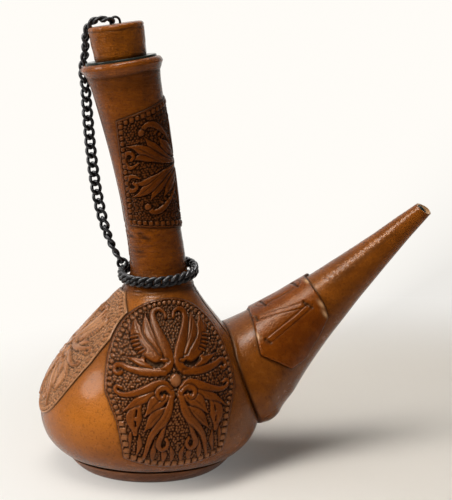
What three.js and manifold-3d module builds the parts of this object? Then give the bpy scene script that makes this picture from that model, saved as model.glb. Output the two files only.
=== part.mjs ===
// A leather-clad glass porron: a blown drinking vessel with a tilted neck and a long pouring spout,
// covered in moulded leather with tooled panels, and closed by a cork stopper on a curb chain.
// Millimetres, +Z up. The origin is on the floor under the middle of the belly, and the spout points to +X.

import * as THREE from 'three';
import { mergeVertices } from 'three/addons/utils/BufferGeometryUtils.js';
import Module from 'manifold-3d';

const wasm = await Module();
wasm.setup();

const { degToRad, clamp, lerp, smoothstep } = THREE.MathUtils;

// Clearance between pieces, slack for facets, how far a cutter runs past its work, how near two corners are
// one, and thickness of the stock
const GAP = 0.3;
const FACET_SLACK = 0.25;
const OVERRUN = 2;
const WELD = 1e-4;
const LEATHER = 1.8;
const PANEL = 1.2;
const SOLE = 2.2;
const GLASS_WALL = 2.4;
const SPOUT_WALL = 1.6;

// Body: a round profile from the sole seam over the belly to the neck, leaning to the spout as it rises
const SEAM_R = 52.8;
const SEAM_Z = 9.5;
const FLOOR_R = 41.7;
const UNDER_Z = 18.8;
const BELLY_R = 68.9;
const BELLY_Z = 37.2;
const SHOULDER_PULL = 37.8;
const NECK_PULL = 21;
const LEAN = 4.4;

// Neck: a bowed axis, a slight waist and a flared lip whose mouth is tilted less than the neck under it
const NECK_Z = 127;
const NECK_R = 17.3;
const NECK_LENGTH = 111;
const WAIST_R = 17;
const WAIST_RISE = 33;
const NECK_UPPER_R = 18.7;
const NECK_UPPER_RISE = 74;
const NECK_TOP_R = 21.1;
const NECK_TILT = degToRad(7.7);
const NECK_TOP_TILT = degToRad(13.3);
const TILT_RUN = 26;
const LIP_R = 24.8;
const LIP_RISE = 13;
const LIP_FOLD = 3.4;
const LIP_EDGE_R = 22;
const FLARE_OUT = 0.2;
const FLARE_UP = 0.7;
const MOUTH_TILT = degToRad(9.1);
const MOUTH_TILT_RUN = 30;
const SLEEVE_Z = 113.5;
const BORE_R = 16;
const BORE_FOOT_R = 14;
const RIM_BEAD_R = 0.85;
const GLASS_FLOOR = 3.6;

// Spout: a hollow-sided cone with a rounded root that spreads sideways where it meets the belly
const SPOUT_Z = 5.2;
const SPOUT_RISE = degToRad(39.8);
const ROOT_START = 60;
const ROOT_START_R = 28;
const ROOT_ROUND = 67;
const ROOT_ROUND_R = 38.5;
const ROOT_S = 78;
const ROOT_R = 36.8;
const SPOUT_WAIST_S = 122;
const SPOUT_WAIST_R = 18.8;
const TIP_S = 238;
const TIP_R = 5.6;
const ROOT_SPREAD = 0.2;
const ROOT_SPREAD_END = 116;
const GUSSET_ANGLE = degToRad(34);
const GUSSET_FOOT_Z = 60;

// Tooled panels: two oval ones on the sides, a shield at the back and one wrapped round the neck
const OVAL_TOP_Z = 110;
const OVAL_MID_Z = 60;
const OVAL_HALF = 39.5;
const OVAL_WAIST_Z = 45;
const OVAL_WAIST_HALF = 34.2;
const OVAL_FOOT_Z = 23;
const OVAL_FOOT_HALF = 29.8;
const OVAL_BOTTOM_Z = 16.5;
const SHIELD_TOP_Z = 113;
const SHIELD_TOP_HALF = 7.5;
const SHIELD_CORNER_Z = 98;
const SHIELD_CORNER_HALF = 26.5;
const SHIELD_MID_Z = 74;
const SHIELD_HALF = 31.3;
const SHIELD_FOOT_Z = 37;
const SHIELD_FOOT_PULL = 20;
const SHIELD_FOOT_FULL = 0.7;
const NECK_PANEL_HALF = 46.3;
const NECK_PANEL_LOW = 28.5;
const NECK_PANEL_HIGH = 94;
const NECK_PANEL_PEAK = 8;

// Band over the spout, as seen from the side: distance along the spout and height over its axis
const BAND = 1.4;
const BAND_SIDE = [
  [109, 40],
  [98, 22],
  [92, 12],
  [103, -12],
  [119, -17],
  [138.5, -4],
  [147, 15.5],
  [152, 40],
];
const THONG = 1;
const THONG_WIDTH = 3;
// Lacing strips: start and end, each as distance along the spout and arc down from its top line
const LACING = [[[115, 5], [140, 5]], [[106.5, 13.5], [135.5, 22]], [[136, 25.5], [100.5, 34]]];

// Stopper, measured along the mouth's axis from the widest ring of the lip
const STOPPER_RISE = 25.3;
const STOPPER_RIM_R = 15.9;
const STOPPER_TOP_R = 16.9;
const STOPPER_ROUND = 2.6;
const WRAP = 1.3;
const WRAP_SUNK = 6;
const CORK_SUNK = 29;
const BORE_SPARE = 4;
const EYE_RADIUS = 2.9;
const EYE_STRAIGHT = 1.3;
const EYE_LEG = 9;
const EYE_HOLD = 2.6;

// Curb chain: wire, pitch, clear play between links, width, and the twist that lays the links flat
const WIRE = 1.45;
const PITCH = 5.8;
const PLAY = 0.75;
const LINK_WIDTH = 7.3;
const LINK_TWIST = degToRad(48);
const LINK_STEPS = 10;
const LINK_SIDES = 4;
const COLLAR_STEPS = 8;
const COLLAR_SIDES = 4;
const COLLAR_R = 23;
const COLLAR_Z = 122.5;
const COLLAR_PITCH_TILT = degToRad(6.1);
const COLLAR_ROLL_TILT = degToRad(6.9);
const COLLAR_FUSE = 0.25;
const RING_R = 3.1;
const RING_WIRE = 1.4;
const RING_PLACE = degToRad(30);
// Way that the links' width points, over the stopper and down the neck, and where along the chain it turns
const STOPPER_ACROSS = degToRad(240);
const RUN_ACROSS = degToRad(167);
const TURN_FROM = 30;
const TURN_TO = 85;
// Chain over the stopper: degrees round from the back, distance out from its side, depth below its top
const OVER_STOPPER = [[23, -9.3, -3.7], [29, -4.3, -3.5], [31, 0.1, -0.8], [32, 2.9, 3.4], [33, 4.3, 8.8]];
// Chain past the lip: degrees round from the back, distance out from its side, height over its widest ring
const PAST_LIP = [[34, -2.4, 11.3], [36, -0.2, 5.9], [39, 2.3, 0.5], [41, 2.9, -5.1]];
// Chain down to the collar: share of the way up from the junction ring, bow to the back and bow to the rear
const DOWN_NECK = [
  [0.96, 0.2, 0],
  [0.84, 2, 0.3],
  [0.61, 5, 0.8],
  [0.4, 6.6, 1.2],
  [0.21, 6.1, 1.3],
  [0.09, 3.7, 0.9],
];

// Facets: sides of round pieces, and steps along their outlines
const ROUND = 22;
const BORE_ROUND = 16;
const INSIDE_ROUND = 14;
const SPOUT_ROUND = 18;
const UNDER_STEPS = 4;
const UPPER_STEPS = 7;
const NECK_STEPS = 4;
const FLARE_STEPS = 2;
const FOLD_STEPS = 2;
const RIM_STEPS = 3;
const ROOT_STEPS = 3;
const CONE_STEPS = 6;
const OUTLINE_STEPS = 8;
const PANEL_AROUND = 20;
const PANEL_ALONG = 5;
const THONG_STEPS = 7;
const WRAP_STEPS = 3;
const EYE_STEPS = 12;
const EYE_SIDES = 3;
const ROUTE_STEPS = 600;

// Heights along the spine that follow from these
const LIP_H = NECK_Z + NECK_LENGTH + LIP_RISE;
const EDGE_H = LIP_H + LIP_FOLD;
const RIM_H = EDGE_H + 2 * RIM_BEAD_R;
const TOP_H = LIP_H + STOPPER_RISE;
const LINING = LEATHER + GAP;
const REACH = 2 * TIP_S;

const flat = (x, y) => new THREE.Vector2(x, y);
const far = (x, y, z) => new THREE.Vector3(x * REACH, y * REACH, z * REACH);

// Solids: closed geometry to a body for cutting and joining, and back

function solid(geometry) {
  const bare = geometry.clone();
  bare.deleteAttribute('normal');
  bare.deleteAttribute('uv');
  const merged = mergeVertices(bare, WELD);
  const place = merged.attributes.position;
  const corners = [];
  const [a, b, c] = [new THREE.Vector3(), new THREE.Vector3(), new THREE.Vector3()];
  let volume = 0;
  for (let i = 0; i < merged.index.count; i += 3) {
    const face = [0, 1, 2].map((k) => merged.index.getX(i + k));
    if (new Set(face).size < 3) continue;
    corners.push(face);
    a.fromBufferAttribute(place, face[0]);
    b.fromBufferAttribute(place, face[1]);
    c.fromBufferAttribute(place, face[2]);
    volume += a.dot(b.cross(c));
  }
  const faces = volume < 0 ? corners.map((face) => face.reverse()) : corners;
  const mesh = new wasm.Mesh({
    numProp: 3,
    vertProperties: new Float32Array(place.array),
    triVerts: new Uint32Array(faces.flat()),
  });
  return new wasm.Manifold(mesh);
}

function surface(body) {
  const mesh = body.getMesh();
  const geometry = new THREE.BufferGeometry();
  geometry.setAttribute('position', new THREE.BufferAttribute(new Float32Array(mesh.vertProperties), 3));
  geometry.setIndex(new THREE.BufferAttribute(new Uint32Array(mesh.triVerts), 1));
  geometry.computeVertexNormals();
  return geometry;
}

function moved(geometry, map) {
  const place = geometry.attributes.position;
  const point = new THREE.Vector3();
  for (let i = 0; i < place.count; i += 1) {
    point.fromBufferAttribute(place, i);
    place.setXYZ(i, ...map(point));
  }
  return geometry;
}

function lathe(profile, segments) {
  return new THREE.LatheGeometry(profile, segments).rotateX(Math.PI / 2);
}

function shape(points) {
  return new THREE.Shape(points.map(([x, y]) => new THREE.Vector2(x, y)));
}

function prism(face, depth) {
  return new THREE.ExtrudeGeometry(face, { depth, bevelEnabled: false, curveSegments: OUTLINE_STEPS });
}

function block(low, high) {
  const size = new THREE.Vector3().subVectors(high, low);
  const middle = new THREE.Vector3().addVectors(low, high).multiplyScalar(0.5);
  return solid(new THREE.BoxGeometry(size.x, size.y, size.z).translate(middle.x, middle.y, middle.z));
}

// Spine: the centre and tilt of the round section at height h, which runs up the body and then along the neck

function spine(h) {
  if (h <= NECK_Z) {
    const tilt = NECK_TILT * smoothstep(h, NECK_Z - TILT_RUN, NECK_Z);
    return { x: LEAN * smoothstep(h, BELLY_Z, NECK_Z), z: h, tilt };
  }
  const along = h - NECK_Z;
  const bend = (NECK_TOP_TILT - NECK_TILT) / NECK_LENGTH;
  const turn = NECK_TILT + bend * Math.min(along, NECK_LENGTH);
  const flare = clamp(along - NECK_LENGTH, 0, LIP_RISE);
  const above = Math.max(along - NECK_LENGTH - LIP_RISE, 0);
  const lip = NECK_LENGTH + LIP_RISE;
  const arcX = (Math.cos(turn) - Math.cos(NECK_TILT)) / bend;
  const arcZ = (Math.sin(turn) - Math.sin(NECK_TILT)) / bend;
  return {
    x: LEAN + arcX - flare * Math.sin(NECK_TOP_TILT) - above * Math.sin(MOUTH_TILT),
    z: NECK_Z + arcZ + flare * Math.cos(NECK_TOP_TILT) + above * Math.cos(MOUTH_TILT),
    tilt: lerp(turn, MOUTH_TILT, smoothstep(along, lip - MOUTH_TILT_RUN, lip)),
  };
}

function onSpine({ x, y, z }) {
  const at = spine(z);
  return [at.x + x * Math.cos(at.tilt), y, at.z + x * Math.sin(at.tilt)];
}

// Mouth: the straight axis that the stopper slides on, through the middle of the lip

function onMouth({ x, y, z }) {
  const lip = spine(LIP_H);
  const over = z - LIP_H;
  return [
    lip.x - over * Math.sin(MOUTH_TILT) + x * Math.cos(MOUTH_TILT),
    y,
    lip.z + over * Math.cos(MOUTH_TILT) + x * Math.sin(MOUTH_TILT),
  ];
}

function spun(profile, segments = ROUND) {
  return solid(moved(lathe(profile, segments), onSpine));
}

function turned(profile) {
  return solid(moved(lathe(profile, BORE_ROUND), onMouth));
}

// Outline of the leather from the sole seam to the lip, set out or in by an offset along its normals

const under = new THREE.QuadraticBezierCurve(
  flat(SEAM_R, SEAM_Z),
  flat(BELLY_R, UNDER_Z),
  flat(BELLY_R, BELLY_Z),
);
const upper = new THREE.CubicBezierCurve(
  flat(BELLY_R, BELLY_Z),
  flat(BELLY_R, BELLY_Z + SHOULDER_PULL),
  flat(NECK_R, NECK_Z - NECK_PULL),
  flat(NECK_R, NECK_Z),
);
const neck = new THREE.SplineCurve([
  flat(NECK_R, NECK_Z),
  flat(WAIST_R, NECK_Z + WAIST_RISE),
  flat(NECK_UPPER_R, NECK_Z + NECK_UPPER_RISE),
  flat(NECK_TOP_R, NECK_Z + NECK_LENGTH),
]);
const flare = new THREE.QuadraticBezierCurve(
  flat(NECK_TOP_R, NECK_Z + NECK_LENGTH),
  flat(lerp(NECK_TOP_R, LIP_R, FLARE_OUT), lerp(NECK_Z + NECK_LENGTH, LIP_H, FLARE_UP)),
  flat(LIP_R, LIP_H),
);
const fold = new THREE.QuadraticBezierCurve(
  flat(LIP_R, LIP_H),
  flat(LIP_R, EDGE_H),
  flat(LIP_EDGE_R, EDGE_H),
);
const OUTLINE = [
  [under, UNDER_STEPS],
  [upper, UPPER_STEPS],
  [neck, NECK_STEPS],
  [flare, FLARE_STEPS],
  [fold, FOLD_STEPS],
];

function outline(offset) {
  const points = [];
  OUTLINE.forEach(([curve, steps], k) => {
    for (let i = k ? 1 : 0; i <= steps; i += 1) {
      const next = OUTLINE[k + 1];
      const tangent = curve.getTangent(i / steps);
      if (i === steps && next) tangent.add(next[0].getTangent(0)).normalize();
      const point = curve.getPoint(i / steps);
      points.push(flat(point.x + tangent.y * offset, point.y - tangent.x * offset));
    }
  });
  return points;
}

function filled(offset) {
  const side = outline(offset);
  return spun([flat(0, side[0].y), ...side, flat(0, side.at(-1).y)]);
}

function shell(inner, outer) {
  const out = outline(outer);
  return spun([...out, ...outline(inner).reverse(), out[0]]);
}

// Spout: radius along its axis, and its own frame with the height over the axis as x

const root = new THREE.QuadraticBezierCurve(
  flat(ROOT_START_R, ROOT_START),
  flat(ROOT_ROUND_R, ROOT_ROUND),
  flat(ROOT_R, ROOT_S),
);
const cone = new THREE.QuadraticBezierCurve(
  flat(ROOT_R, ROOT_S),
  flat(SPOUT_WAIST_R, SPOUT_WAIST_S),
  flat(TIP_R, TIP_S),
);

function onSpout({ x, y, z }) {
  const spread = 1 + ROOT_SPREAD * (1 - smoothstep(z, ROOT_START, ROOT_SPREAD_END));
  return [
    z * Math.cos(SPOUT_RISE) - x * Math.sin(SPOUT_RISE),
    y * spread,
    SPOUT_Z + z * Math.sin(SPOUT_RISE) + x * Math.cos(SPOUT_RISE),
  ];
}

function spoutSide(offset, tip) {
  const points = [...root.getPoints(ROOT_STEPS), ...cone.getPoints(CONE_STEPS).slice(1)];
  const side = points.map((point) => flat(point.x + offset, point.y));
  side.at(-1).y = tip;
  return side;
}

function spoutFilled(offset, tip, segments = SPOUT_ROUND) {
  const side = spoutSide(offset, tip);
  return solid(moved(lathe([flat(0, ROOT_START), ...side, flat(0, tip)], segments), onSpout));
}

// Radius at a distance along an outline, on the same straight steps as the solids
function radiusAt(points, along) {
  const last = points.length - 1;
  const high = points.findIndex((point, i) => i > 0 && (point.y >= along || i === last));
  const [below, above] = [points[high - 1], points[high]];
  return lerp(below.x, above.x, (along - below.y) / (above.y - below.y));
}

// Finishes

function finish(color, roughness, metalness) {
  return new THREE.MeshStandardMaterial({ color, roughness, metalness });
}

const LEATHER_BROWN = finish(0x8a4a1c, 0.42, 0);
const TOOLED_BROWN = finish(0x7a3f18, 0.5, 0);
const SOLE_BROWN = finish(0x54281a, 0.55, 0);
const STRAP_BROWN = finish(0x6e3616, 0.5, 0);
const GLASS_GREEN = finish(0x4c5a50, 0.1, 0);
const CORK_TAN = finish(0xb08a5e, 0.9, 0);
const BLACK_STEEL = finish(0x1c1c1f, 0.4, 0.9);

const porron = new THREE.Group();

function add(name, body, material) {
  const geometry = body.isBufferGeometry ? body : surface(body);
  const mesh = new THREE.Mesh(geometry, material);
  mesh.name = name;
  porron.add(mesh);
  return mesh;
}

// Glass vessel: base, shoulder, neck and spout, set face to face, open at the mouth and at the spout's tip

function boreRadius(depth) {
  return lerp(BORE_R, BORE_FOOT_R, depth / (CORK_SUNK + BORE_SPARE));
}

function dishFoot(thickness) {
  const slope = flat(SEAM_R - FLOOR_R, SEAM_Z).normalize();
  return FLOOR_R - thickness * (1 - slope.x) / slope.y;
}

function dishSide(thickness, height) {
  return dishFoot(thickness) + (height - thickness) * (SEAM_R - FLOOR_R) / SEAM_Z;
}

function glassWall() {
  const foot = SOLE + GAP;
  const rimSide = LIP_EDGE_R - GAP;
  const rim = [flat(rimSide, EDGE_H - LINING)];
  for (let i = 0; i <= RIM_STEPS; i += 1) {
    const turn = Math.PI / 2 * (i / RIM_STEPS);
    const [out, over] = [Math.cos(turn) - 1, Math.sin(turn) - 1];
    rim.push(flat(rimSide + RIM_BEAD_R * out, RIM_H + RIM_BEAD_R * over));
  }
  const outside = outline(-LINING).slice(0, -FOLD_STEPS);
  const heel = [flat(0, foot), flat(dishFoot(foot), foot), flat(dishSide(foot, SEAM_Z), SEAM_Z)];
  const outer = spun([...heel, ...outside, ...rim, flat(0, RIM_H)]);
  const corkFoot = RIM_H - CORK_SUNK;
  const floor = foot + GLASS_FLOOR;
  const inside = outline(-LINING - GLASS_WALL).filter((point) => point.y > floor && point.y < corkFoot);
  const inner = spun([
    flat(0, floor),
    flat(dishFoot(floor), floor),
    ...inside,
    flat(0, inside.at(-1).y),
  ], INSIDE_ROUND);
  const boreStart = inside.at(-1).y - OVERRUN;
  const bore = turned([
    flat(0, boreStart),
    flat(inside.at(-1).x - GLASS_WALL / 2, boreStart),
    flat(BORE_FOOT_R, RIM_H - CORK_SUNK - BORE_SPARE),
    flat(BORE_R, RIM_H),
    flat(BORE_R, RIM_H + OVERRUN),
    flat(0, RIM_H + OVERRUN),
  ]);
  return outer.subtract(inner).subtract(bore).subtract(spoutBore);
}

function level(low, high) {
  return block(far(-1, -1, 0).setZ(low), far(1, 1, 0).setZ(high));
}

const spoutBore = spoutFilled(-LINING - SPOUT_WALL, TIP_S + OVERRUN, INSIDE_ROUND);
const spoutGlass = spoutFilled(-LINING, TIP_S - GAP).subtract(spoutBore);
const wall = glassWall();

add('glass_base', wall.intersect(level(0, BELLY_Z - GAP)), GLASS_GREEN);
add('glass_shoulder', wall.intersect(level(BELLY_Z, SLEEVE_Z - GAP)), GLASS_GREEN);
add('glass_neck', wall.intersect(level(SLEEVE_Z, REACH)), GLASS_GREEN);
add('glass_spout', spoutGlass.subtract(filled(GAP - LINING)), GLASS_GREEN);

// Leather skin: two halves that meet at the back and under the spout, a gusset over it, and a neck sleeve

const skin = shell(-LEATHER, 0);
const spoutClear = spoutFilled(GAP, TIP_S);
const bodyClear = filled(GAP);

function wedge(clearance) {
  const wide = REACH * Math.tan(GUSSET_ANGLE);
  const apex = LEAN - clearance / Math.sin(GUSSET_ANGLE);
  const sector = shape([[apex, 0], [apex + REACH, -wide], [apex + REACH, wide]]);
  const top = SLEEVE_Z - GUSSET_FOOT_Z + OVERRUN;
  return solid(prism(sector, top + clearance).translate(0, 0, GUSSET_FOOT_Z - clearance));
}

const bodySkin = skin.intersect(level(0, SLEEVE_Z - GAP)).subtract(spoutClear);
const halves = bodySkin.subtract(wedge(GAP));
const frontSide = block(far(-1, -1, -1), far(1, 0, 1).setY(-GAP / 2));
const rearSide = block(far(-1, 0, -1).setY(GAP / 2), far(1, 1, 1));

add('front_body_leather', halves.intersect(frontSide), LEATHER_BROWN);
add('rear_body_leather', halves.intersect(rearSide), LEATHER_BROWN);
add('spout_gusset', bodySkin.intersect(wedge(0)), LEATHER_BROWN);
add('neck_sleeve', skin.intersect(level(SLEEVE_Z, REACH)), LEATHER_BROWN);

const spoutSkin = spoutFilled(0, TIP_S).subtract(spoutFilled(-LEATHER, TIP_S + OVERRUN));
add('spout_cover', spoutSkin.subtract(bodyClear), LEATHER_BROWN);

// Sole: a shallow dish of thick leather under the vessel, whose rim meets the body leather at the seam

function baseSole() {
  const rimZ = SEAM_Z - GAP;
  return solid(lathe([
    flat(0, 0),
    flat(FLOOR_R, 0),
    flat(dishSide(0, rimZ), rimZ),
    flat(dishSide(SOLE, rimZ), rimZ),
    flat(dishFoot(SOLE), SOLE),
    flat(0, SOLE),
  ], ROUND));
}

add('base_sole', baseSole(), SOLE_BROWN);

// Tooled panels, cut from a thin layer over the skin

const layer = shell(GAP, GAP + PANEL);

function ovalOutline(extra) {
  const [foot, waist, half] = [OVAL_FOOT_HALF + extra, OVAL_WAIST_HALF + extra, OVAL_HALF + extra];
  const oval = new THREE.Shape();
  oval.moveTo(-foot, OVAL_FOOT_Z - extra);
  oval.quadraticCurveTo(0, 2 * OVAL_BOTTOM_Z - OVAL_FOOT_Z - extra, foot, OVAL_FOOT_Z - extra);
  oval.lineTo(waist, OVAL_WAIST_Z);
  oval.lineTo(half, OVAL_MID_Z);
  oval.absellipse(0, OVAL_MID_Z, half, OVAL_TOP_Z + extra - OVAL_MID_Z, 0, Math.PI, false, 0);
  oval.lineTo(-waist, OVAL_WAIST_Z);
  return oval;
}

function ovalCutter(extra, side) {
  const cutter = prism(ovalOutline(extra), side * REACH).rotateX(Math.PI / 2);
  return solid(moved(cutter, ({ x, y, z }) => [x + spine(z).x, y, z]));
}

function shieldOutline() {
  const [half, corner, top] = [SHIELD_HALF, SHIELD_CORNER_HALF, SHIELD_TOP_HALF];
  const full = half * SHIELD_FOOT_FULL;
  const turnZ = SHIELD_MID_Z - SHIELD_FOOT_PULL;
  const shield = new THREE.Shape();
  shield.moveTo(0, SHIELD_FOOT_Z);
  shield.bezierCurveTo(full, SHIELD_FOOT_Z, half, turnZ, half, SHIELD_MID_Z);
  shield.lineTo(corner, SHIELD_CORNER_Z);
  shield.lineTo(top, SHIELD_TOP_Z);
  shield.lineTo(-top, SHIELD_TOP_Z);
  shield.lineTo(-corner, SHIELD_CORNER_Z);
  shield.lineTo(-half, SHIELD_MID_Z);
  shield.bezierCurveTo(-half, turnZ, -full, SHIELD_FOOT_Z, 0, SHIELD_FOOT_Z);
  return shield;
}

add('front_medallion', layer.intersect(ovalCutter(0, 1)), TOOLED_BROWN);
add('rear_medallion', layer.intersect(ovalCutter(0, -1)), TOOLED_BROWN);
const shieldCutter = solid(prism(shieldOutline(), REACH).rotateX(Math.PI / 2).rotateZ(-Math.PI / 2));
const ovals = ovalCutter(GAP, 1).add(ovalCutter(GAP, -1));
add('back_medallion', layer.intersect(shieldCutter).subtract(ovals), TOOLED_BROWN);

function neckPanel() {
  const sheet = new THREE.BoxGeometry(2, 1, 1, PANEL_AROUND, PANEL_ALONG, 1);
  const wrapped = moved(sheet, ({ x, y, z }) => {
    const peak = NECK_PANEL_PEAK * (1 - Math.abs(x));
    const rise = lerp(NECK_PANEL_LOW - peak, NECK_PANEL_HIGH + peak, y + 0.5);
    const h = NECK_Z + rise;
    const side = radiusAt(neck.getPoints(NECK_STEPS), h);
    const radius = side + GAP + FACET_SLACK + PANEL * (z + 0.5);
    const turn = x * NECK_PANEL_HALF / side;
    return onSpine({ x: radius * Math.cos(turn), y: radius * Math.sin(turn), z: h });
  });
  return surface(solid(wrapped));
}

add('neck_panel', neckPanel(), TOOLED_BROWN);

// Band over the spout with its lacing

function spoutBand() {
  const ring = spoutFilled(GAP + BAND, TIP_S).subtract(spoutFilled(GAP, TIP_S));
  const sideways = prism(shape(BAND_SIDE.map(([along, over]) => [over, along])), REACH);
  const cutter = moved(sideways.translate(0, 0, -REACH / 2), ({ x, y, z }) => onSpout({ x, y: z, z: y }));
  return ring.intersect(solid(cutter));
}

add('spout_band', spoutBand(), STRAP_BROWN);

function thongStrip([[fromS, fromArc], [toS, toArc]]) {
  const strip = new THREE.BoxGeometry(1, 1, 1, THONG_STEPS, 2, 1);
  const direction = flat(toS - fromS, toArc - fromArc).normalize();
  const wrapped = moved(strip, ({ x, y, z }) => {
    const along = lerp(fromS, toS, x + 0.5) - direction.y * y * THONG_WIDTH;
    const arc = lerp(fromArc, toArc, x + 0.5) + direction.x * y * THONG_WIDTH;
    const radius = radiusAt(spoutSide(0, TIP_S), along);
    const out = radius + 2 * GAP + FACET_SLACK + BAND + THONG * (z + 0.5);
    const turn = arc / radius;
    return onSpout({ x: out * Math.cos(turn), y: -out * Math.sin(turn), z: along });
  });
  return surface(solid(wrapped));
}

LACING.forEach((strip, i) => add(`spout_thong_${i + 1}`, thongStrip(strip), STRAP_BROWN));

// Stopper: a cork core in a leather wrap with a top disc and a wire eye driven through it

function wrapSide(offset) {
  const round = new THREE.QuadraticBezierCurve(
    flat(STOPPER_TOP_R, TOP_H - STOPPER_ROUND),
    flat(STOPPER_TOP_R, TOP_H),
    flat(STOPPER_TOP_R - STOPPER_ROUND, TOP_H),
  );
  const side = [flat(STOPPER_RIM_R, RIM_H + GAP + STOPPER_ROUND / 2), ...round.getPoints(WRAP_STEPS)];
  return side.map((point, i) => flat(point.x - offset, i > 1 ? point.y - offset : point.y));
}

function stopperEye(extra) {
  class Staple extends THREE.Curve {
    getPoint(t) {
      const half = Math.PI * EYE_RADIUS / 2;
      const leg = EYE_STRAIGHT + EYE_LEG + extra;
      const length = 2 * (half + leg);
      const along = t * length - length / 2;
      const side = Math.sign(along);
      const past = Math.max(Math.abs(along) - half, 0);
      const turn = clamp(along / EYE_RADIUS, -Math.PI / 2, Math.PI / 2);
      const x = past > 0 ? side * EYE_RADIUS : EYE_RADIUS * Math.sin(turn);
      const rise = past > 0 ? -past : EYE_RADIUS * Math.cos(turn);
      return new THREE.Vector3(...onMouth({ x, y: 0, z: TOP_H + EYE_STRAIGHT + rise }));
    }
  }
  const section = new THREE.Shape().absarc(0, 0, WIRE / 2 + extra, 0, 2 * Math.PI);
  const path = { extrudePath: new Staple(), steps: EYE_STEPS, curveSegments: EYE_SIDES };
  return new THREE.ExtrudeGeometry(section, path);
}

const eyeHoles = solid(stopperEye(GAP));
const wrapOut = wrapSide(0);
const wrapIn = wrapSide(WRAP);
const coreSide = wrapSide(WRAP + GAP);
const wrapFoot = RIM_H - WRAP_SUNK;
const discR = STOPPER_TOP_R - STOPPER_ROUND - GAP;
const coreTop = TOP_H - WRAP - GAP;
const sunkR = boreRadius(WRAP_SUNK) - GAP;
const stopperWrap = turned([
  flat(sunkR, wrapFoot),
  flat(BORE_R - GAP, RIM_H),
  ...wrapOut,
  flat(discR + GAP, TOP_H - WRAP),
  ...wrapIn.slice(0, -1).reverse(),
  flat(sunkR - WRAP, wrapFoot),
  flat(sunkR, wrapFoot),
]);
const cork = turned([
  flat(0, RIM_H - CORK_SUNK),
  flat(boreRadius(CORK_SUNK) - GAP, RIM_H - CORK_SUNK),
  flat(sunkR, wrapFoot - GAP),
  flat(sunkR - WRAP - GAP, wrapFoot - GAP),
  coreSide[0],
  coreSide[1],
  flat(coreSide.at(-1).x, coreTop),
  flat(0, coreTop),
]);
const disc = turned([flat(0, TOP_H - WRAP), flat(discR, TOP_H - WRAP), flat(discR, TOP_H), flat(0, TOP_H)]);

add('stopper_cork', cork.subtract(eyeHoles), CORK_TAN);
add('stopper_wrap', stopperWrap, LEATHER_BROWN);
add('stopper_top', disc.subtract(eyeHoles), LEATHER_BROWN);
add('stopper_eye', surface(solid(stopperEye(0))), BLACK_STEEL);

// Curb links: an oval wire loop, twisted so that each end passes flat through its neighbour

class CurbLoop extends THREE.Curve {
  constructor(halfLength) {
    super();
    this.halfLength = halfLength;
    this.halfWidth = (LINK_WIDTH - WIRE) / 2;
  }

  getPoint(t) {
    const turn = 2 * Math.PI * t;
    const twist = -LINK_TWIST * Math.cos(turn);
    const across = this.halfWidth * Math.sin(turn);
    return new THREE.Vector3(
      this.halfLength * Math.cos(turn),
      across * Math.cos(twist),
      across * Math.sin(twist),
    );
  }
}

function curbLink(pitch, play, steps, sides) {
  const loop = new CurbLoop((pitch + WIRE + play) / 2);
  return new THREE.TubeGeometry(loop, steps, WIRE / 2, sides, true);
}

function linkFrame(middle, along, across) {
  const x = along.clone().normalize();
  const z = new THREE.Vector3().crossVectors(x, across).normalize();
  const y = new THREE.Vector3().crossVectors(z, x);
  return new THREE.Matrix4().makeBasis(x, y, z).setPosition(middle);
}

// Collar: links round the foot of the neck, resting on the shoulder, joined where they bear on each other

const collarMiddle = new THREE.Vector3(spine(COLLAR_Z).x, 0, COLLAR_Z);
const collarTurn = new THREE.Matrix4()
  .makeRotationFromEuler(new THREE.Euler(COLLAR_ROLL_TILT, -COLLAR_PITCH_TILT, 0))
  .setPosition(collarMiddle);

function collarPoint(angle, over) {
  const point = new THREE.Vector3(COLLAR_R * Math.cos(angle), COLLAR_R * Math.sin(angle), over);
  return point.applyMatrix4(collarTurn);
}

function neckChain() {
  const count = Math.round(2 * Math.PI * COLLAR_R / PITCH);
  const pitch = 2 * COLLAR_R * Math.sin(Math.PI / count);
  const link = curbLink(pitch, -COLLAR_FUSE, COLLAR_STEPS, COLLAR_SIDES);
  const links = [];
  for (let i = 0; i < count; i += 1) {
    const angle = Math.PI - RING_PLACE + 2 * Math.PI * i / count;
    const outward = new THREE.Vector3(Math.cos(angle), Math.sin(angle), 0);
    const along = new THREE.Vector3(-Math.sin(angle), Math.cos(angle), 0);
    const up = new THREE.Vector3(0, 0, 1);
    const frame = linkFrame(outward.clone().multiplyScalar(COLLAR_R), along, up);
    links.push(solid(link.clone().applyMatrix4(collarTurn.clone().multiply(frame))));
  }
  const shells = wasm.Manifold.union(links).decompose();
  return shells.reduce((best, each) => (each.volume() > best.volume() ? each : best));
}

add('neck_chain', neckChain(), BLACK_STEEL);

// Junction ring: hangs the tether on the upper strand of a collar link

const strandOver = (LINK_WIDTH - WIRE) / 2;
const ringInside = RING_R - RING_WIRE / 2;
const ringOver = strandOver + ringInside - WIRE / 2 - GAP;
const ringAngle = Math.PI - RING_PLACE;
const ringMiddle = collarPoint(ringAngle, ringOver);
const ringUp = new THREE.Vector3(0, 0, 1).transformDirection(collarTurn);
const ringOut = new THREE.Vector3(Math.cos(ringAngle), Math.sin(ringAngle), 0).transformDirection(collarTurn);

function junctionRing() {
  const ring = new THREE.TorusGeometry(RING_R, RING_WIRE / 2, LINK_SIDES + 1, 2 * LINK_STEPS);
  const side = new THREE.Vector3().crossVectors(ringOut, ringUp);
  return ring.applyMatrix4(new THREE.Matrix4().makeBasis(ringOut, ringUp, side).setPosition(ringMiddle));
}

add('junction_ring', junctionRing(), BLACK_STEEL);

// Tether: separate links from the eye over the stopper's edge, past the lip and down to the junction ring

function roundMouth(angle, radius, height) {
  const turn = degToRad(angle);
  const [x, y] = [-radius * Math.cos(turn), radius * Math.sin(turn)];
  return new THREE.Vector3(...onMouth({ x, y, z: height }));
}

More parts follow.
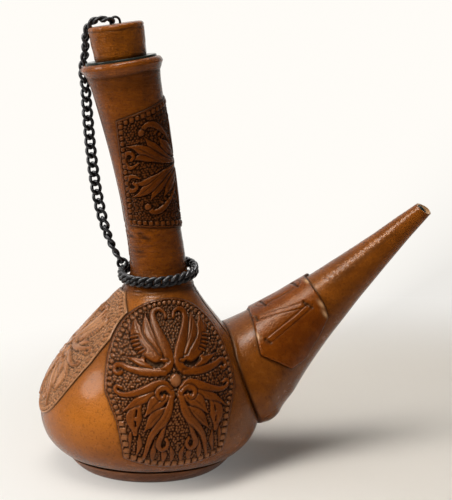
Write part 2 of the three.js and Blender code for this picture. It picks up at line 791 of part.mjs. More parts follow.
function tetherRoute() {
  const eye = roundMouth(0, EYE_RADIUS, TOP_H + EYE_HOLD);
  const over = OVER_STOPPER.map(([turn, out, below]) => roundMouth(turn, STOPPER_TOP_R + out, TOP_H - below));
  const past = PAST_LIP.map(([turn, out, above]) => roundMouth(turn, LIP_R + out, LIP_H + above));
  const down = DOWN_NECK.map(([share, back, rear]) => {
    const point = ringMiddle.clone().lerp(past.at(-1), share);
    return point.add(new THREE.Vector3(-back, rear, 0));
  });
  const pull = down.at(-1).clone().sub(ringMiddle);
  const ringTurn = Math.atan2(pull.dot(ringUp), pull.dot(ringOut));
  const hook = ringMiddle.clone()
    .addScaledVector(ringOut, RING_R * Math.cos(ringTurn))
    .addScaledVector(ringUp, RING_R * Math.sin(ringTurn));
  const route = new THREE.CatmullRomCurve3([eye, ...over, ...past, ...down, hook], false, 'centripetal');
  route.arcLengthDivisions = ROUTE_STEPS;
  return route;
}

function tether() {
  const route = tetherRoute();
  const length = route.getLength();
  const count = Math.round((length + WIRE + PLAY) / PITCH);
  const pitch = (length + WIRE + PLAY) / count;
  const link = curbLink(pitch, PLAY, LINK_STEPS, LINK_SIDES);
  const first = (pitch - WIRE - PLAY) / 2;
  for (let i = 0; i < count; i += 1) {
    const along = first + i * pitch;
    const heading = lerp(STOPPER_ACROSS, RUN_ACROSS, smoothstep(along, TURN_FROM, TURN_TO));
    const across = new THREE.Vector3(Math.cos(heading), Math.sin(heading), 0);
    const frame = linkFrame(route.getPointAt(along / length), route.getTangentAt(along / length), across);
    const name = `chain_link_${String(i + 1).padStart(2, '0')}`;
    add(name, surface(solid(link.clone().applyMatrix4(frame))), BLACK_STEEL);
  }
}

tether();

export default porron;
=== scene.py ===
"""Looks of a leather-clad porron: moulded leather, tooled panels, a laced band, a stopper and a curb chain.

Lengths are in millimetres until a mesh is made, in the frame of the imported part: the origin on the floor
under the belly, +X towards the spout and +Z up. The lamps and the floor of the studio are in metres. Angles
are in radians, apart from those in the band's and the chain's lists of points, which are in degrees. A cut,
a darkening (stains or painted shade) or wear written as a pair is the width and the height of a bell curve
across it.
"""

import logging
import math
from collections.abc import Iterable, Sequence
from dataclasses import dataclass, replace
from enum import Enum
from functools import cache, cached_property

import bpy
import numpy as np
from mathutils import Matrix, Vector


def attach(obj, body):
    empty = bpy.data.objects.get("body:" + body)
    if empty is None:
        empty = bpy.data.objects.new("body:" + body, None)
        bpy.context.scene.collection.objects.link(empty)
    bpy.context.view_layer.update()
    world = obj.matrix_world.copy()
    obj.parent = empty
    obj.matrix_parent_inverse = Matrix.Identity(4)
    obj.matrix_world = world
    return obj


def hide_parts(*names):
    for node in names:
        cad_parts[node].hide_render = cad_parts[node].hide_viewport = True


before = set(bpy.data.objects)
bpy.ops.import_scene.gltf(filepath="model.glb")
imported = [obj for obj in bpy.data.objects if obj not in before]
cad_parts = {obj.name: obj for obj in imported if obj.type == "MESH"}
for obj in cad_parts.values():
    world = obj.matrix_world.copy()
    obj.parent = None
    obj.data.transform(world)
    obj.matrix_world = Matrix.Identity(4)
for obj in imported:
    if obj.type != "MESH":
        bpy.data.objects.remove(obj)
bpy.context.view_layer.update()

MM = 0.001
PHOTO_WIDTH = 452
FULL_TURN = 2 * math.pi
FAR_OFF = 99.0
WAVES = 7

Array = np.ndarray
Point = tuple[float, float]
Place = tuple[float, float, float]
Colour = tuple[float, float, float]
Settings = dict[str, object]
Inputs = dict[str | int, object]

log = logging.getLogger("porron")


class Body(Enum):
    """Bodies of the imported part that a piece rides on."""

    VESSEL = "vessel"
    STOPPER = "stopper"
    TETHER = "tether"
    COLLAR = "collar"


class Slot(Enum):
    """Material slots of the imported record."""

    GLASS = "glass"
    LEATHER = "leather"
    TOOLED = "tooled_leather"
    SOLE = "sole_leather"
    STRAP = "strap_leather"
    CORK = "cork"
    STEEL = "black_steel"


class Side(Enum):
    """The two sides of the belly, by the sign of Y."""

    FRONT = -1
    REAR = 1


# Curves


def smooth(x: Array | float, low: float, high: float) -> Array:
    """Rise from 0 at low to 1 at high with level ends."""
    t = np.clip((np.asarray(x, float) - low) / (high - low), 0, 1)
    return t * t * (3 - 2 * t)


def fall(x: Array | float, low: float, high: float) -> Array:
    """Drop from 1 at low to 0 at high with level ends."""
    return 1 - smooth(x, low, high)


def bell(x: Array, width: float, height: float = 1.0) -> Array:
    """A hump at 0 that has died away at about twice its width."""
    return height * np.exp(-((x / width) ** 2))


def around(count: int) -> Array:
    """Equal steps of angle round a full turn, in one row."""
    return np.linspace(-math.pi, math.pi, count, endpoint=False)[None, :]


def curve(points: Sequence[Point], steps: int) -> Array:
    """Points along a curve that the points between its ends pull towards them.

    Args:
        points: First end, pulls and last end.
        steps: Number of equal steps.

    Returns:
        One row for each point.
    """
    t = np.linspace(0, 1, steps + 1)[:, None]
    rows = [np.asarray(p, float)[None, :] for p in points]
    while len(rows) > 1:
        rows = [a + (b - a) * t for a, b in zip(rows, rows[1:])]
    return rows[0]


def cubic(start: Array, end: Array, leave: Array, arrive: Array, t: Array) -> Array:
    """Points of one span of a smooth line.

    Args:
        start: First point.
        end: Last point.
        leave: Slope at the first point.
        arrive: Slope at the last point.
        t: Shares of the span from 0 to 1, in a column.

    Returns:
        One row for each share.
    """
    square = 3 * end - 3 * start - 2 * leave - arrive
    cube = 2 * start - 2 * end + leave + arrive
    return start + leave * t + square * t**2 + cube * t**3


def flow(points: Sequence[Sequence[float]], steps: int) -> Array:
    """Points along a smooth line through given points, with even spans.

    Args:
        points: Points that the line passes.
        steps: Steps in each span.

    Returns:
        One row for each point of the line.
    """
    p = np.asarray(points, float)
    p = np.vstack([p[:1], p, p[-1:]])
    t = np.linspace(0, 1, steps + 1)[:-1, None]
    rows = []
    for before, start, end, after in zip(p, p[1:], p[2:], p[3:]):
        rows.append(cubic(start, end, (end - before) / 2, (after - start) / 2, t))
    return np.vstack([*rows, p[-1:]])


def unit(rows: Array) -> Array:
    """Vectors of length 1 along the rows."""
    return rows / np.maximum(np.linalg.norm(rows, axis=-1, keepdims=True), 1e-9)


def lengths(path: Array) -> Array:
    """Distance along a path at each of its points."""
    return np.concatenate([[0.0], np.cumsum(np.linalg.norm(np.diff(path, axis=0), axis=1))])


def spaced(path: Array, count: int) -> Array:
    """A path's points, set again at equal distances.

    Args:
        path: Points of the path.
        count: Number of points wanted, ends included.

    Returns:
        The points at equal distances.
    """
    far = lengths(path)
    at = np.linspace(0, far[-1], count)
    return np.stack([np.interp(at, far, column) for column in path.T], axis=1)


def nearest(x: Array, y: Array, path: Array) -> tuple[Array, Array]:
    """Distance from flat points to a path, and how far along the path they lie.

    Args:
        x: First coordinates.
        y: Second coordinates.
        path: Points of the path.

    Returns:
        Distances, and shares of the path's length from 0 to 1.
    """
    best, share = np.full(x.shape, np.inf), np.zeros(x.shape)
    far = lengths(path)
    for i, (a, b) in enumerate(zip(path, path[1:])):
        step = b - a
        size = max(float(step @ step), 1e-12)
        t = np.clip(((x - a[0]) * step[0] + (y - a[1]) * step[1]) / size, 0, 1)
        d = np.hypot(x - a[0] - t * step[0], y - a[1] - t * step[1])
        closer = d < best
        best = np.where(closer, d, best)
        share = np.where(closer, (far[i] + t * (far[i + 1] - far[i])) / far[-1], share)
    return best, share


def softened(field: Array, times: int) -> Array:
    """Blur a grid of values.

Args:
    field: The grid.
    times: Passes over each point's neighbours.

Returns:
    The blurred grid.
"""
    for _ in range(times):
        wide = np.pad(field, 1, mode="edge")
        field = (wide[:-2, 1:-1] + wide[2:, 1:-1] + wide[1:-1, :-2] + wide[1:-1, 2:] + 2 * field) / 6
    return field


def waviness(x: Array, y: Array, pitch: float, seed: int) -> Array:
    """Slow hand-made unevenness between about -1 and 1.

    Args:
        x: First coordinates.
        y: Second coordinates.
        pitch: Length of the waves.
        seed: Choice of waves.

    Returns:
        The unevenness at each point.
    """
    chance = np.random.default_rng(seed)
    total = np.zeros(np.broadcast(x, y).shape)
    for _ in range(WAVES):
        heading, phase = chance.uniform(0, FULL_TURN, 2)
        rate = FULL_TURN / (pitch * chance.uniform(0.7, 1.6))
        total += np.sin(rate * (x * math.cos(heading) + y * math.sin(heading)) + phase)
    return total / (WAVES / 2)


# Meshes


@dataclass
class Patch:
    """A sheet of points in rows and columns, with the values that its finish reads."""

    points: Array
    values: dict[str, Array]
    ring: bool = False
    tube: bool = False

    def faces(self) -> Array:
        """Corners of each face.

  Returns:
      One row for each face, by the points' order.
  """
        rows, columns = self.points.shape[:2]
        index = np.arange(rows * columns).reshape(rows, columns)
        if self.ring:
            index = np.hstack([index, index[:, :1]])
        if self.tube:
            index = np.vstack([index, index[:1]])
        corners = (index[:-1, :-1], index[:-1, 1:], index[1:, 1:], index[1:, :-1])
        return np.stack([c.ravel() for c in corners], axis=1)


def mesh_of(name: str, patches: Iterable[Patch]) -> bpy.types.Object:
    """One smooth object from several sheets.

    Args:
        name: The object's name.
        patches: Sheets that go into it.

    Returns:
        The object, linked to the scene.
    """
    sheets = list(patches)
    counts = np.cumsum([0, *(s.points.shape[0] * s.points.shape[1] for s in sheets)])
    points = np.vstack([s.points.reshape(-1, 3) for s in sheets]) * MM
    faces = np.vstack([s.faces() + start for s, start in zip(sheets, counts)])
    mesh = bpy.data.meshes.new(name)
    mesh.from_pydata(points.tolist(), [], faces.tolist())
    for key in sorted({key for s in sheets for key in s.values}):
        grids = [np.broadcast_to(s.values.get(key, 0.0), s.points.shape[:2]) for s in sheets]
        value = np.concatenate([grid.ravel() for grid in grids])
        mesh.attributes.new(key, "FLOAT", "POINT").data.foreach_set("value", value.astype(np.float32))
    mesh.validate()
    mesh.shade_smooth()
    piece = bpy.data.objects.new(name, mesh)
    bpy.context.scene.collection.objects.link(piece)
    return piece


def wire(path: Array, thickness: float, sides: int, closed: bool) -> Patch:
    """A round wire along a path.

    Args:
        path: Points along the middle of the wire.
        thickness: The wire's diameter.
        sides: Points round the wire.
        closed: Whether the path's end meets its start.

    Returns:
        The wire's surface.
    """
    ahead = np.roll(path, -1, axis=0) - np.roll(path, 1, axis=0)
    if not closed:
        ahead[0], ahead[-1] = path[1] - path[0], path[-1] - path[-2]
    ahead = unit(ahead)
    out = path - path.mean(axis=0)
    out = unit(out - ahead * np.sum(out * ahead, axis=1)[:, None])
    over = np.cross(out, ahead)
    turn = np.arange(sides) * FULL_TURN / sides
    ring = np.cos(turn)[None, :, None] * out[:, None, :] + np.sin(turn)[None, :, None] * over[:, None, :]
    points = path[:, None, :] + ring * thickness / 2
    worn = np.broadcast_to(0.5 + 0.5 * np.cos(turn), points.shape[:2])
    return Patch(points, {"wear": worn}, ring=True, tube=closed)


# Forms


@dataclass(frozen=True)
class Vessel:
    """The covered vessel: a round outline on a spine that leans, then bows back along the neck."""

    seam_r: float = 52.8
    seam_z: float = 9.5
    floor_r: float = 41.7
    under_z: float = 18.8
    belly_r: float = 68.9
    belly_z: float = 37.2
    shoulder_pull: float = 37.8
    neck_pull: float = 21
    lean: float = 4.4
    neck_z: float = 127
    neck_r: float = 17.3
    neck_length: float = 111
    waist_r: float = 17
    waist_rise: float = 33
    upper_r: float = 18.7
    upper_rise: float = 74
    top_r: float = 21.1
    neck_tilt: float = math.radians(7.7)
    top_tilt: float = math.radians(13.3)
    tilt_run: float = 26
    lip_r: float = 24.8
    lip_rise: float = 13
    lip_fold: float = 3.4
    lip_edge_r: float = 22
    flare_out: float = 0.2
    flare_up: float = 0.7
    mouth_tilt: float = math.radians(9.1)
    mouth_run: float = 30
    sleeve_z: float = 113.5
    slope_step: float = 0.2

    @property
    def lip_h(self) -> float:
        """Height along the spine of the lip's widest ring."""
        return self.neck_z + self.neck_length + self.lip_rise

    @property
    def edge_h(self) -> float:
        """Height along the spine of the lip's turned edge."""
        return self.lip_h + self.lip_fold

    @cached_property
    def outline(self) -> Array:
        """Outline of the leather.

Returns:
    Radius and height from the sole seam to the turned edge of the lip.
"""
        seam, belly = (self.seam_r, self.seam_z), (self.belly_r, self.belly_z)
        shoulder = (self.belly_r, self.belly_z + self.shoulder_pull)
        throat = (self.neck_r, self.neck_z - self.neck_pull)
        neck, top = (self.neck_r, self.neck_z), (self.top_r, self.neck_z + self.neck_length)
        waist = (self.waist_r, self.neck_z + self.waist_rise)
        upper = (self.upper_r, self.neck_z + self.upper_rise)
        lip, edge = (self.lip_r, self.lip_h), (self.lip_edge_r, self.edge_h)
        flare_r = self.top_r + (self.lip_r - self.top_r) * self.flare_out
        flare = (flare_r, top[1] + self.lip_rise * self.flare_up)
        runs = [
            curve([seam, (self.belly_r, self.under_z), belly], 30),
            curve([belly, shoulder, throat, neck], 90),
            flow([neck, waist, upper, top], 24),
            curve([top, flare, lip], 16),
            curve([lip, (self.lip_r, self.edge_h), edge], 12),
        ]
        return np.vstack([runs[0], *(run[1:] for run in runs[1:])])

    def radius(self, h: Array) -> Array:
        """Radius of the leather at a height along the spine."""
        return np.interp(h, self.outline[:, 1], self.outline[:, 0])

    def spine(self, h: Array) -> tuple[Array, Array, Array]:
        """Middle and tilt of the round section.

        Args:
            h: Heights along the spine.

        Returns:
            X, Z and tilt of each section.
        """
        h = np.asarray(h, float)
        bend = (self.top_tilt - self.neck_tilt) / self.neck_length
        along = np.maximum(h - self.neck_z, 0)
        turn = self.neck_tilt + bend * np.minimum(along, self.neck_length)
        flare = np.clip(along - self.neck_length, 0, self.lip_rise)
        lip = self.neck_length + self.lip_rise
        above = np.maximum(along - lip, 0)
        bowed = (np.cos(turn) - math.cos(self.neck_tilt)) / bend
        x = self.lean * smooth(h, self.belly_z, self.neck_z) + bowed
        x = x - flare * math.sin(self.top_tilt) - above * math.sin(self.mouth_tilt)
        z = np.minimum(h, self.neck_z) + (np.sin(turn) - math.sin(self.neck_tilt)) / bend
        z = z + flare * math.cos(self.top_tilt) + above * math.cos(self.mouth_tilt)
        low = self.neck_tilt * smooth(h, self.neck_z - self.tilt_run, self.neck_z)
        high = turn + (self.mouth_tilt - turn) * smooth(along, lip - self.mouth_run, lip)
        return x, z, np.where(h <= self.neck_z, low, high)

    def on_spine(self, x: Array, y: Array, h: Array) -> Array:
        """Place of a point given about the spine.

        Args:
            x: Distance from the spine towards the spout.
            y: Distance from the spine towards the rear.
            h: Height along the spine.

        Returns:
            Points in the part's frame.
        """
        at_x, at_z, tilt = self.spine(h)
        x, y = np.broadcast_arrays(x, y)
        return np.stack([at_x + x * np.cos(tilt), y + 0 * at_x, at_z + x * np.sin(tilt)], axis=-1)

    def on_mouth(self, x: Array, y: Array, h: Array) -> Array:
        """Place of a point given about the straight axis of the mouth.

        Args:
            x: Distance from the axis towards the spout.
            y: Distance from the axis towards the rear.
            h: Height along the axis.

        Returns:
            Points in the part's frame.
        """
        lip_x, lip_z, _ = self.spine(self.lip_h)
        over = np.asarray(h, float) - self.lip_h
        sin, cos = math.sin(self.mouth_tilt), math.cos(self.mouth_tilt)
        x, y, over = np.broadcast_arrays(x, y, over)
        return np.stack([lip_x - over * sin + x * cos, y + 0.0, lip_z + over * cos + x * sin], axis=-1)

    def skin(self, theta: Array, h: Array, out: Array | float) -> Array:
        """Points over the leather.

        Args:
            theta: Angle round the spine from the spout.
            h: Height along the spine.
            out: Distance out from the leather.

        Returns:
            Points in the part's frame.
        """
        step = self.slope_step
        slope = (self.radius(h + step) - self.radius(h - step)) / (2 * step)
        size = np.sqrt(1 + slope * slope)
        r = self.radius(h) + out / size
        return self.on_spine(r * np.cos(theta), r * np.sin(theta), h - out * slope / size)


@dataclass(frozen=True)
class SpoutForm:
    """The spout: a hollow-sided cone with a rounded root that spreads sideways at the belly."""

    z: float = 5.2
    rise: float = math.radians(39.8)
    root_start: float = 60
    root_start_r: float = 28
    root_round: float = 67
    root_round_r: float = 38.5
    root_s: float = 78
    root_r: float = 36.8
    waist_s: float = 122
    waist_r: float = 18.8
    tip_s: float = 238
    tip_r: float = 5.6
    spread: float = 0.2
    spread_end: float = 116
    tuck: float = 2.6
    tuck_from: float = 0.2
    tuck_end: float = 96
    clear_before: float = 12

    @cached_property
    def outline(self) -> Array:
        """Outline of the spout.

Returns:
    Radius and distance along the axis from the root to the tip.
"""
        start, pull = (self.root_start_r, self.root_start), (self.root_round_r, self.root_round)
        root, tip = (self.root_r, self.root_s), (self.tip_r, self.tip_s)
        cone = curve([root, (self.waist_r, self.waist_s), tip], 90)
        return np.vstack([curve([start, pull, root], 24), cone[1:]])

    def radius(self, s: Array) -> Array:
        """Radius at a distance along the axis."""
        return np.interp(s, self.outline[:, 1], self.outline[:, 0])

    def place(self, psi: Array, s: Array, out: Array | float) -> Array:
        """Points by their angle from the top line towards the front, distance along and distance out."""
        r = self.radius(s) + out - self.tucked(np.cos(psi), s)
        return self.on_axis(r * np.cos(psi), -r * np.sin(psi) * self.widened(s), s)

    def on_axis(self, over: Array, wide: Array, s: Array) -> Array:
        """Points by their distance over the axis, to its rear and along it."""
        sin, cos = math.sin(self.rise), math.cos(self.rise)
        return np.stack([s * cos - over * sin, wide + 0 * s, self.z + s * sin + over * cos], axis=-1)

    def widened(self, s: Array) -> Array:
        """How many times wider than tall the section is."""
        return 1 + self.spread * fall(s, self.root_start, self.spread_end)

    def tucked(self, cos_psi: Array, s: Array) -> Array:
        """How far the root's underside is drawn in."""
        return self.tuck * smooth(-cos_psi, self.tuck_from, 1.0) * fall(s, self.root_s, self.tuck_end)

    def clear_of(self, points: Array) -> Array:
        """Distance of points from the spout's surface.

Args:
    points: Points in the part's frame.

Returns:
    Distances, negative inside the spout.
"""
        sin, cos = math.sin(self.rise), math.cos(self.rise)
        s = points[..., 0] * cos + (points[..., 2] - self.z) * sin
        over = -points[..., 0] * sin + (points[..., 2] - self.z) * cos
        r = np.maximum(np.hypot(over, points[..., 1] / self.widened(s)), 1e-9)
        clear = r - self.radius(s) + self.tucked(over / r, s)
        return np.where(s < self.root_start - self.clear_before, FAR_OFF, clear)


VESSEL = Vessel()
SPOUT = SpoutForm()


# Tooling


@dataclass(frozen=True)
class Leaf:
    """One carved leaf, stem or scroll: its middle line, and how its width and height run along it."""

    line: tuple[Point, ...]
    width: float
    start: float = 0.35
    peak: float = 0.45
    end: float = 0.15
    height: float = 1.0
    vein: float = 0.0
    spare: float = 1.8

    @property
    def reach(self) -> float:
        """How far from its middle line the leaf and the cut round it go."""
        return self.width / 2 + self.spare

    def half(self, share: Array) -> Array:
        """Half the width along the leaf.

     Args:
         share: Shares of its length from 0 to 1.

     Returns:
         Half the width at each share.
     """
        opening = self.start + (1 - self.start) * smooth(share, 0, self.peak)
        closing = self.end + (1 - self.end) * fall(share, self.peak, 1)
        return self.width / 2 * np.where(share < self.peak, opening, closing)


class Tooling:
    """Height of tooled leather over a flat sheet, carved one stroke after another."""

    row_share: float = 0.9
    pebble_share: float = 0.45
    pebble_sheen: float = 0.75
    cut: Point = (0.55, 0.5)
    least_half: float = 0.3
    vein_run: float = 0.34
    ring: Point = (0.22, 0.55)

    def __init__(self, x: Array, y: Array, seed: int) -> None:
        """Start with a smooth sheet.

        Args:
            x: First coordinates of the sheet's points.
            y: Second coordinates.
            seed: Choice of unevenness.
        """
        self.x, self.y, self.seed = x, y, seed
        self.height, self.sheen, self.hollow = (np.zeros(x.shape) for _ in range(3))
        drift = waviness(x, y, 34, seed)
        self.mirrored = -np.abs(x + 0.35 * drift)
        self.drawn_y = y + 0.45 * waviness(x, y, 40, seed + 1)

    def matting(self, pitch: float, height: float) -> None:
        """Cover the ground with small struck pebbles.

        Args:
            pitch: Distance between pebbles.
            height: Height of a pebble.
        """
        chance = np.random.default_rng(self.seed + 2)
        rise = pitch * self.row_share
        row = np.floor(self.y / rise).astype(int)
        low_r, low_c = row.min() - 2, int(self.x.min() / pitch) - 4
        size = (row.max() - low_r + 4, int(self.x.max() / pitch) - low_c + 5)
        jitter = chance.uniform(0.2, 0.8, (2, *size))
        grown = chance.uniform(0.8, 1.1, size)
        best = np.zeros(self.x.shape)
        for dr in (-1, 0, 1):
            r = row + dr
            shift = 0.5 * (r % 2)
            column = np.floor(self.x / pitch - shift).astype(int)
            for dc in (-1, 0, 1):
                c = column + dc
                at_x = (c + shift + jitter[0, r - low_r, c - low_c]) * pitch
                at_y = (r + jitter[1, r - low_r, c - low_c]) * rise
                reach = self.pebble_share * pitch * grown[r - low_r, c - low_c]
                d = np.hypot(self.x - at_x, self.y - at_y) / reach
                best = np.maximum(best, np.sqrt(np.clip(1 - d * d, 0, 1)))
        self.height = self.height + height * best
        # Pebble tops are marked for painted sheen.
        self.sheen = np.maximum(self.sheen, self.pebble_sheen * smooth(best, 0.55, 1.0))

    def carve(self, leaf: Leaf) -> None:
        """Cut round a leaf and raise it, on both halves of the sheet.

        Args:
            leaf: The leaf to carve.
        """
        path = flow(leaf.line, 6)
        low, high = path.min(axis=0) - leaf.reach, path.max(axis=0) + leaf.reach
        near = (self.mirrored > low[0]) & (self.mirrored < high[0])
        near &= (self.drawn_y > low[1]) & (self.drawn_y < high[1])
        d, share = nearest(self.mirrored[near], self.drawn_y[near], path)
        half = np.maximum(leaf.half(share), self.least_half)
        rim = d - half
        cut = self.height[near] - bell(np.maximum(rim, 0), *self.cut)
        dome = np.sqrt(np.clip(1 - (d / half) ** 2, 0, 1))
        ends = smooth(share, 0.04, 0.2) * fall(share, 0.8, 0.96)
        top = leaf.height * (0.5 + 0.5 * dome) - bell(d, self.vein_run, leaf.vein) * ends
        cover = fall(rim, -0.3, 0.12)
        self.height[near] = cut + (top - cut) * cover
        self.sheen[near] *= 1 - cover

    def pit(self, line: Sequence[Point], width: float, depth: float) -> None:
        """Sink a hollow along a line on both halves.

        Args:
            line: Points of the hollow's middle line.
            width: Width of the hollow.
            depth: Level of its floor below the sheet.
        """
        d, _ = nearest(self.mirrored, self.drawn_y, flow(line, 5))
        sunk = fall(d, width / 5, width / 2)
        self.height = self.height + (np.minimum(self.height, -depth) - self.height) * sunk
        self.hollow = np.maximum(self.hollow, sunk)

    def pearl(self, x: float, y: float, radius: float, height: float, square: float = 0.0) -> None:
        """Strike one pearl.

        Args:
            x: First coordinate of its middle.
            y: Second coordinate.
            radius: Its radius.
            height: Its height.
            square: From 0, round, to 1, blocky.
        """
        near = (np.abs(self.x - x) < 2.2 * radius) & (np.abs(self.y - y) < 2.2 * radius)
        u, v = np.abs(self.x[near] - x) / radius, np.abs(self.y[near] - y) / radius
        power = 2 + 3 * square
        d = (u**power + v**power) ** (1 / power)
        cut = self.height[near] - bell(d - 1.12, *self.ring)
        dome = height * np.sqrt(np.clip(1 - d * d, 0, 1)) ** (1 - 0.4 * square)
        self.height[near] = np.where(d < 1, np.maximum(dome, 0.1), cut)
        self.sheen[near] = np.where(d < 1, dome / height, self.sheen[near])


LOBES = (
    ((-19.8, 89.2), (-23.4, 88.4)),
    ((-19.4, 87.4), (-23.2, 86.4)),
    ((-18.8, 85.6), (-22.6, 84.4)),
    ((-17.8, 83.9), (-21.6, 82.5)),
    ((-16.6, 82.3), (-20.2, 80.6)),
)

UPPER_LEAVES = (
    Leaf(((-23.6, 99), (-23.2, 94.4), (-21.6, 89.6)), 3.4, 0.1, 0.5, 0.6, 0.9),
    Leaf(
        ((-19.6, 99.6), (-19.6, 94), (-17.6, 88), (-14, 82.6), (-9.6, 78.9)),
        11.4, 0.12, 0.5, 0.7, 1.15, 0.22,
    ),
    Leaf(
        ((-13.8, 101), (-13.8, 96), (-12, 90.8), (-9.4, 86), (-7.2, 81.6)),
        8.4, 0.12, 0.45, 0.45, 1.25, 0.3,
    ),
    *(Leaf(lobe, 1.7, 0.8, 0.4, 0.6) for lobe in LOBES),
    Leaf(
        (
            (-2.4, 99.6), (-3, 102.2), (-5.8, 103.9), (-8.8, 102.8), (-10, 99.8), (-9.4, 96.2), (-8, 92.2),
            (-6.2, 88), (-4.2, 83.6), (-2.9, 79.4), (-2.9, 75.8), (-5, 72.9), (-8.6, 71.6), (-12.6, 72.3),
            (-15.8, 74.4), (-17.8, 78),
        ),
        6.0, 0.34, 0.5, 0.45, 1.3,
    ),
    Leaf(((-14, 73.4), (-19, 75.9), (-23, 77.2), (-28, 78.6)), 4.6, 0.6, 0.3, 0.12, 1.1, 0.25),
    Leaf(
        (
            (-6, 71), (-14, 71), (-21, 71.8), (-26.4, 73), (-30, 74.4), (-33, 73.6), (-33.6, 71.2),
            (-31.8, 69.8), (-30, 70.8),
        ),
        4.2, 0.7, 0.3, 0.5, 1.05,
    ),
    Leaf(((-4, 77.2), (-6.8, 77.2), (-8.8, 75.9)), 2.4, 0.8, 0.5, 0.5, 1.1),
)

LOWER_LEAVES = (
    Leaf(((-21.6, 38), (-21.2, 32), (-22.6, 25.6)), 3.2, 0.3, 0.4, 0.4, 0.8),
    Leaf(((-25.8, 40), (-27, 34), (-26.4, 28)), 3.2, 0.3, 0.4, 0.4, 0.8),
    Leaf(((-12.8, 35), (-13.6, 28), (-13.8, 20.4)), 3.4, 0.3, 0.5, 0.5, 0.9),
    Leaf(((-8.8, 29.4), (-7.2, 25.4), (-7.8, 19.8)), 3.6, 0.6, 0.4, 0.5, 0.9),
    Leaf(((-4.6, 32), (-2.6, 26), (-3.2, 19.4)), 3, 0.2, 0.5, 0.5, 0.8),
    Leaf(((-19.6, 57), (-23, 52.4), (-24.6, 46.8), (-23.8, 38.6)), 8.8, 0.25, 0.55, 0.3, 1.15, 0.25),
    Leaf(
        ((-7, 62.8), (-13, 61), (-18, 58.5), (-23.6, 55.6), (-28.4, 52.4), (-32, 49)),
        5.4, 0.4, 0.4, 0.1, 1.1, 0.25,
    ),
    Leaf(
        (
            (-2.2, 59), (-3.6, 63), (-7, 65.2), (-11.6, 64.9), (-16.6, 63), (-22, 61), (-27.6, 59.6),
            (-31.6, 60), (-33.7, 61.9), (-32.6, 63.8), (-30.6, 63),
        ),
        4.8, 0.7, 0.25, 0.42, 1.25,
    ),
    Leaf(((-4.6, 58.6), (-9.4, 57), (-13.8, 53.8), (-18.8, 48.4)), 8.4, 0.4, 0.48, 0.12, 1.2, 0.35),
    Leaf(((-5, 53.6), (-9.8, 50.4), (-14.4, 46), (-19.6, 39.6)), 7, 0.3, 0.52, 0.1, 1.15, 0.3),
    Leaf(
        (
            (-5.6, 47), (-8, 42.4), (-9.3, 38), (-10.7, 34.4), (-10.9, 31.2), (-8.9, 29), (-6.5, 30),
            (-5.6, 32.8), (-6.7, 35.4),
        ),
        3.4, 0.5, 0.5, 0.6, 1.05,
    ),
    Leaf(
        (
            (-2.3, 61), (-3.6, 55.6), (-5.6, 50), (-8.4, 45.8), (-12, 42), (-15, 37.4), (-16.5, 32.6),
            (-17.6, 27.6), (-19, 21.8),
        ),
        5, 0.6, 0.3, 0.4, 1.35, 0.2,
    ),
    Leaf(
        ((-3, 60.6), (-5.8, 63.2), (-9.1, 63.1), (-11.2, 61), (-10.4, 58.4), (-8.2, 57.8), (-7, 59.6)),
        2.9, 0.8, 0.5, 0.6, 1.3,
    ),
)

BARBS = (((-20.6, 84.6), (-24.6, 81.4)), ((-18, 83), (-21.8, 79.8)), ((-15.2, 81.2), (-19, 78.2)))

NECK_LEAVES = (
    Leaf(((-7.4, 91), (-6, 82), (-3.8, 73), (-1.4, 66)), 6.4, 0.1, 0.5, 0.3, 1.0, 0.3),
    *(Leaf(barb, 1.7, 0.6, 0.5, 0.4, 0.75) for barb in BARBS),
    Leaf(
        ((-31.8, 83.8), (-28.8, 87.8), (-24, 87.4), (-19, 84), (-14.4, 79.8), (-10, 74)),
        3.6, 0.8, 0.4, 0.3,
    ),
    Leaf(((-21, 79.6), (-17.8, 75.2), (-13.4, 70.8), (-7, 65.8)), 7.4, 0.1, 0.42, 0.2, 1.05, 0.3),
    Leaf(((-30, 81.4), (-26.4, 76), (-22, 71), (-16, 66.8), (-9, 64)), 6, 0.1, 0.36, 0.25, 1.1, 0.3),
    Leaf(
        ((-41, 77.6), (-35.6, 76.4), (-30.4, 73), (-25.4, 69), (-18, 65), (-9, 62.8)),
        6.8, 0.1, 0.36, 0.25, 1.2, 0.35,
    ),
    Leaf(((-38, 69.6), (-33, 69.8), (-28, 67.6), (-22, 65)), 3.6, 0.6, 0.4, 0.2, 0.95),
    Leaf(
        (
            (-34.4, 66.4), (-38.6, 64.4), (-42, 65.8), (-43.4, 69.6), (-41.6, 73.2), (-38.4, 73.4),
            (-36.8, 71), (-38.6, 69),
        ),
        3.6, 0.4, 0.4, 0.6, 1.15,
    ),
)

PITS = (
    (((-15.6, 77), (-12.8, 75.6), (-10, 75.2), (-7.4, 76)), 3.1),
    (((-23, 51.6), (-23.6, 48.4)), 1.2),
    (((-24, 45.6), (-23.6, 43)), 1.2),
    (((-8.9, 60.8), (-8.4, 60.2)), 2.0),
    (((-31.8, 72.2), (-31.6, 71.6)), 1.5),
    (((-31.9, 62.2), (-31.6, 61.9)), 1.4),
    (((-8.6, 33.4), (-8.4, 31.6)), 1.9),
)
BUTTON_Y = 67.2


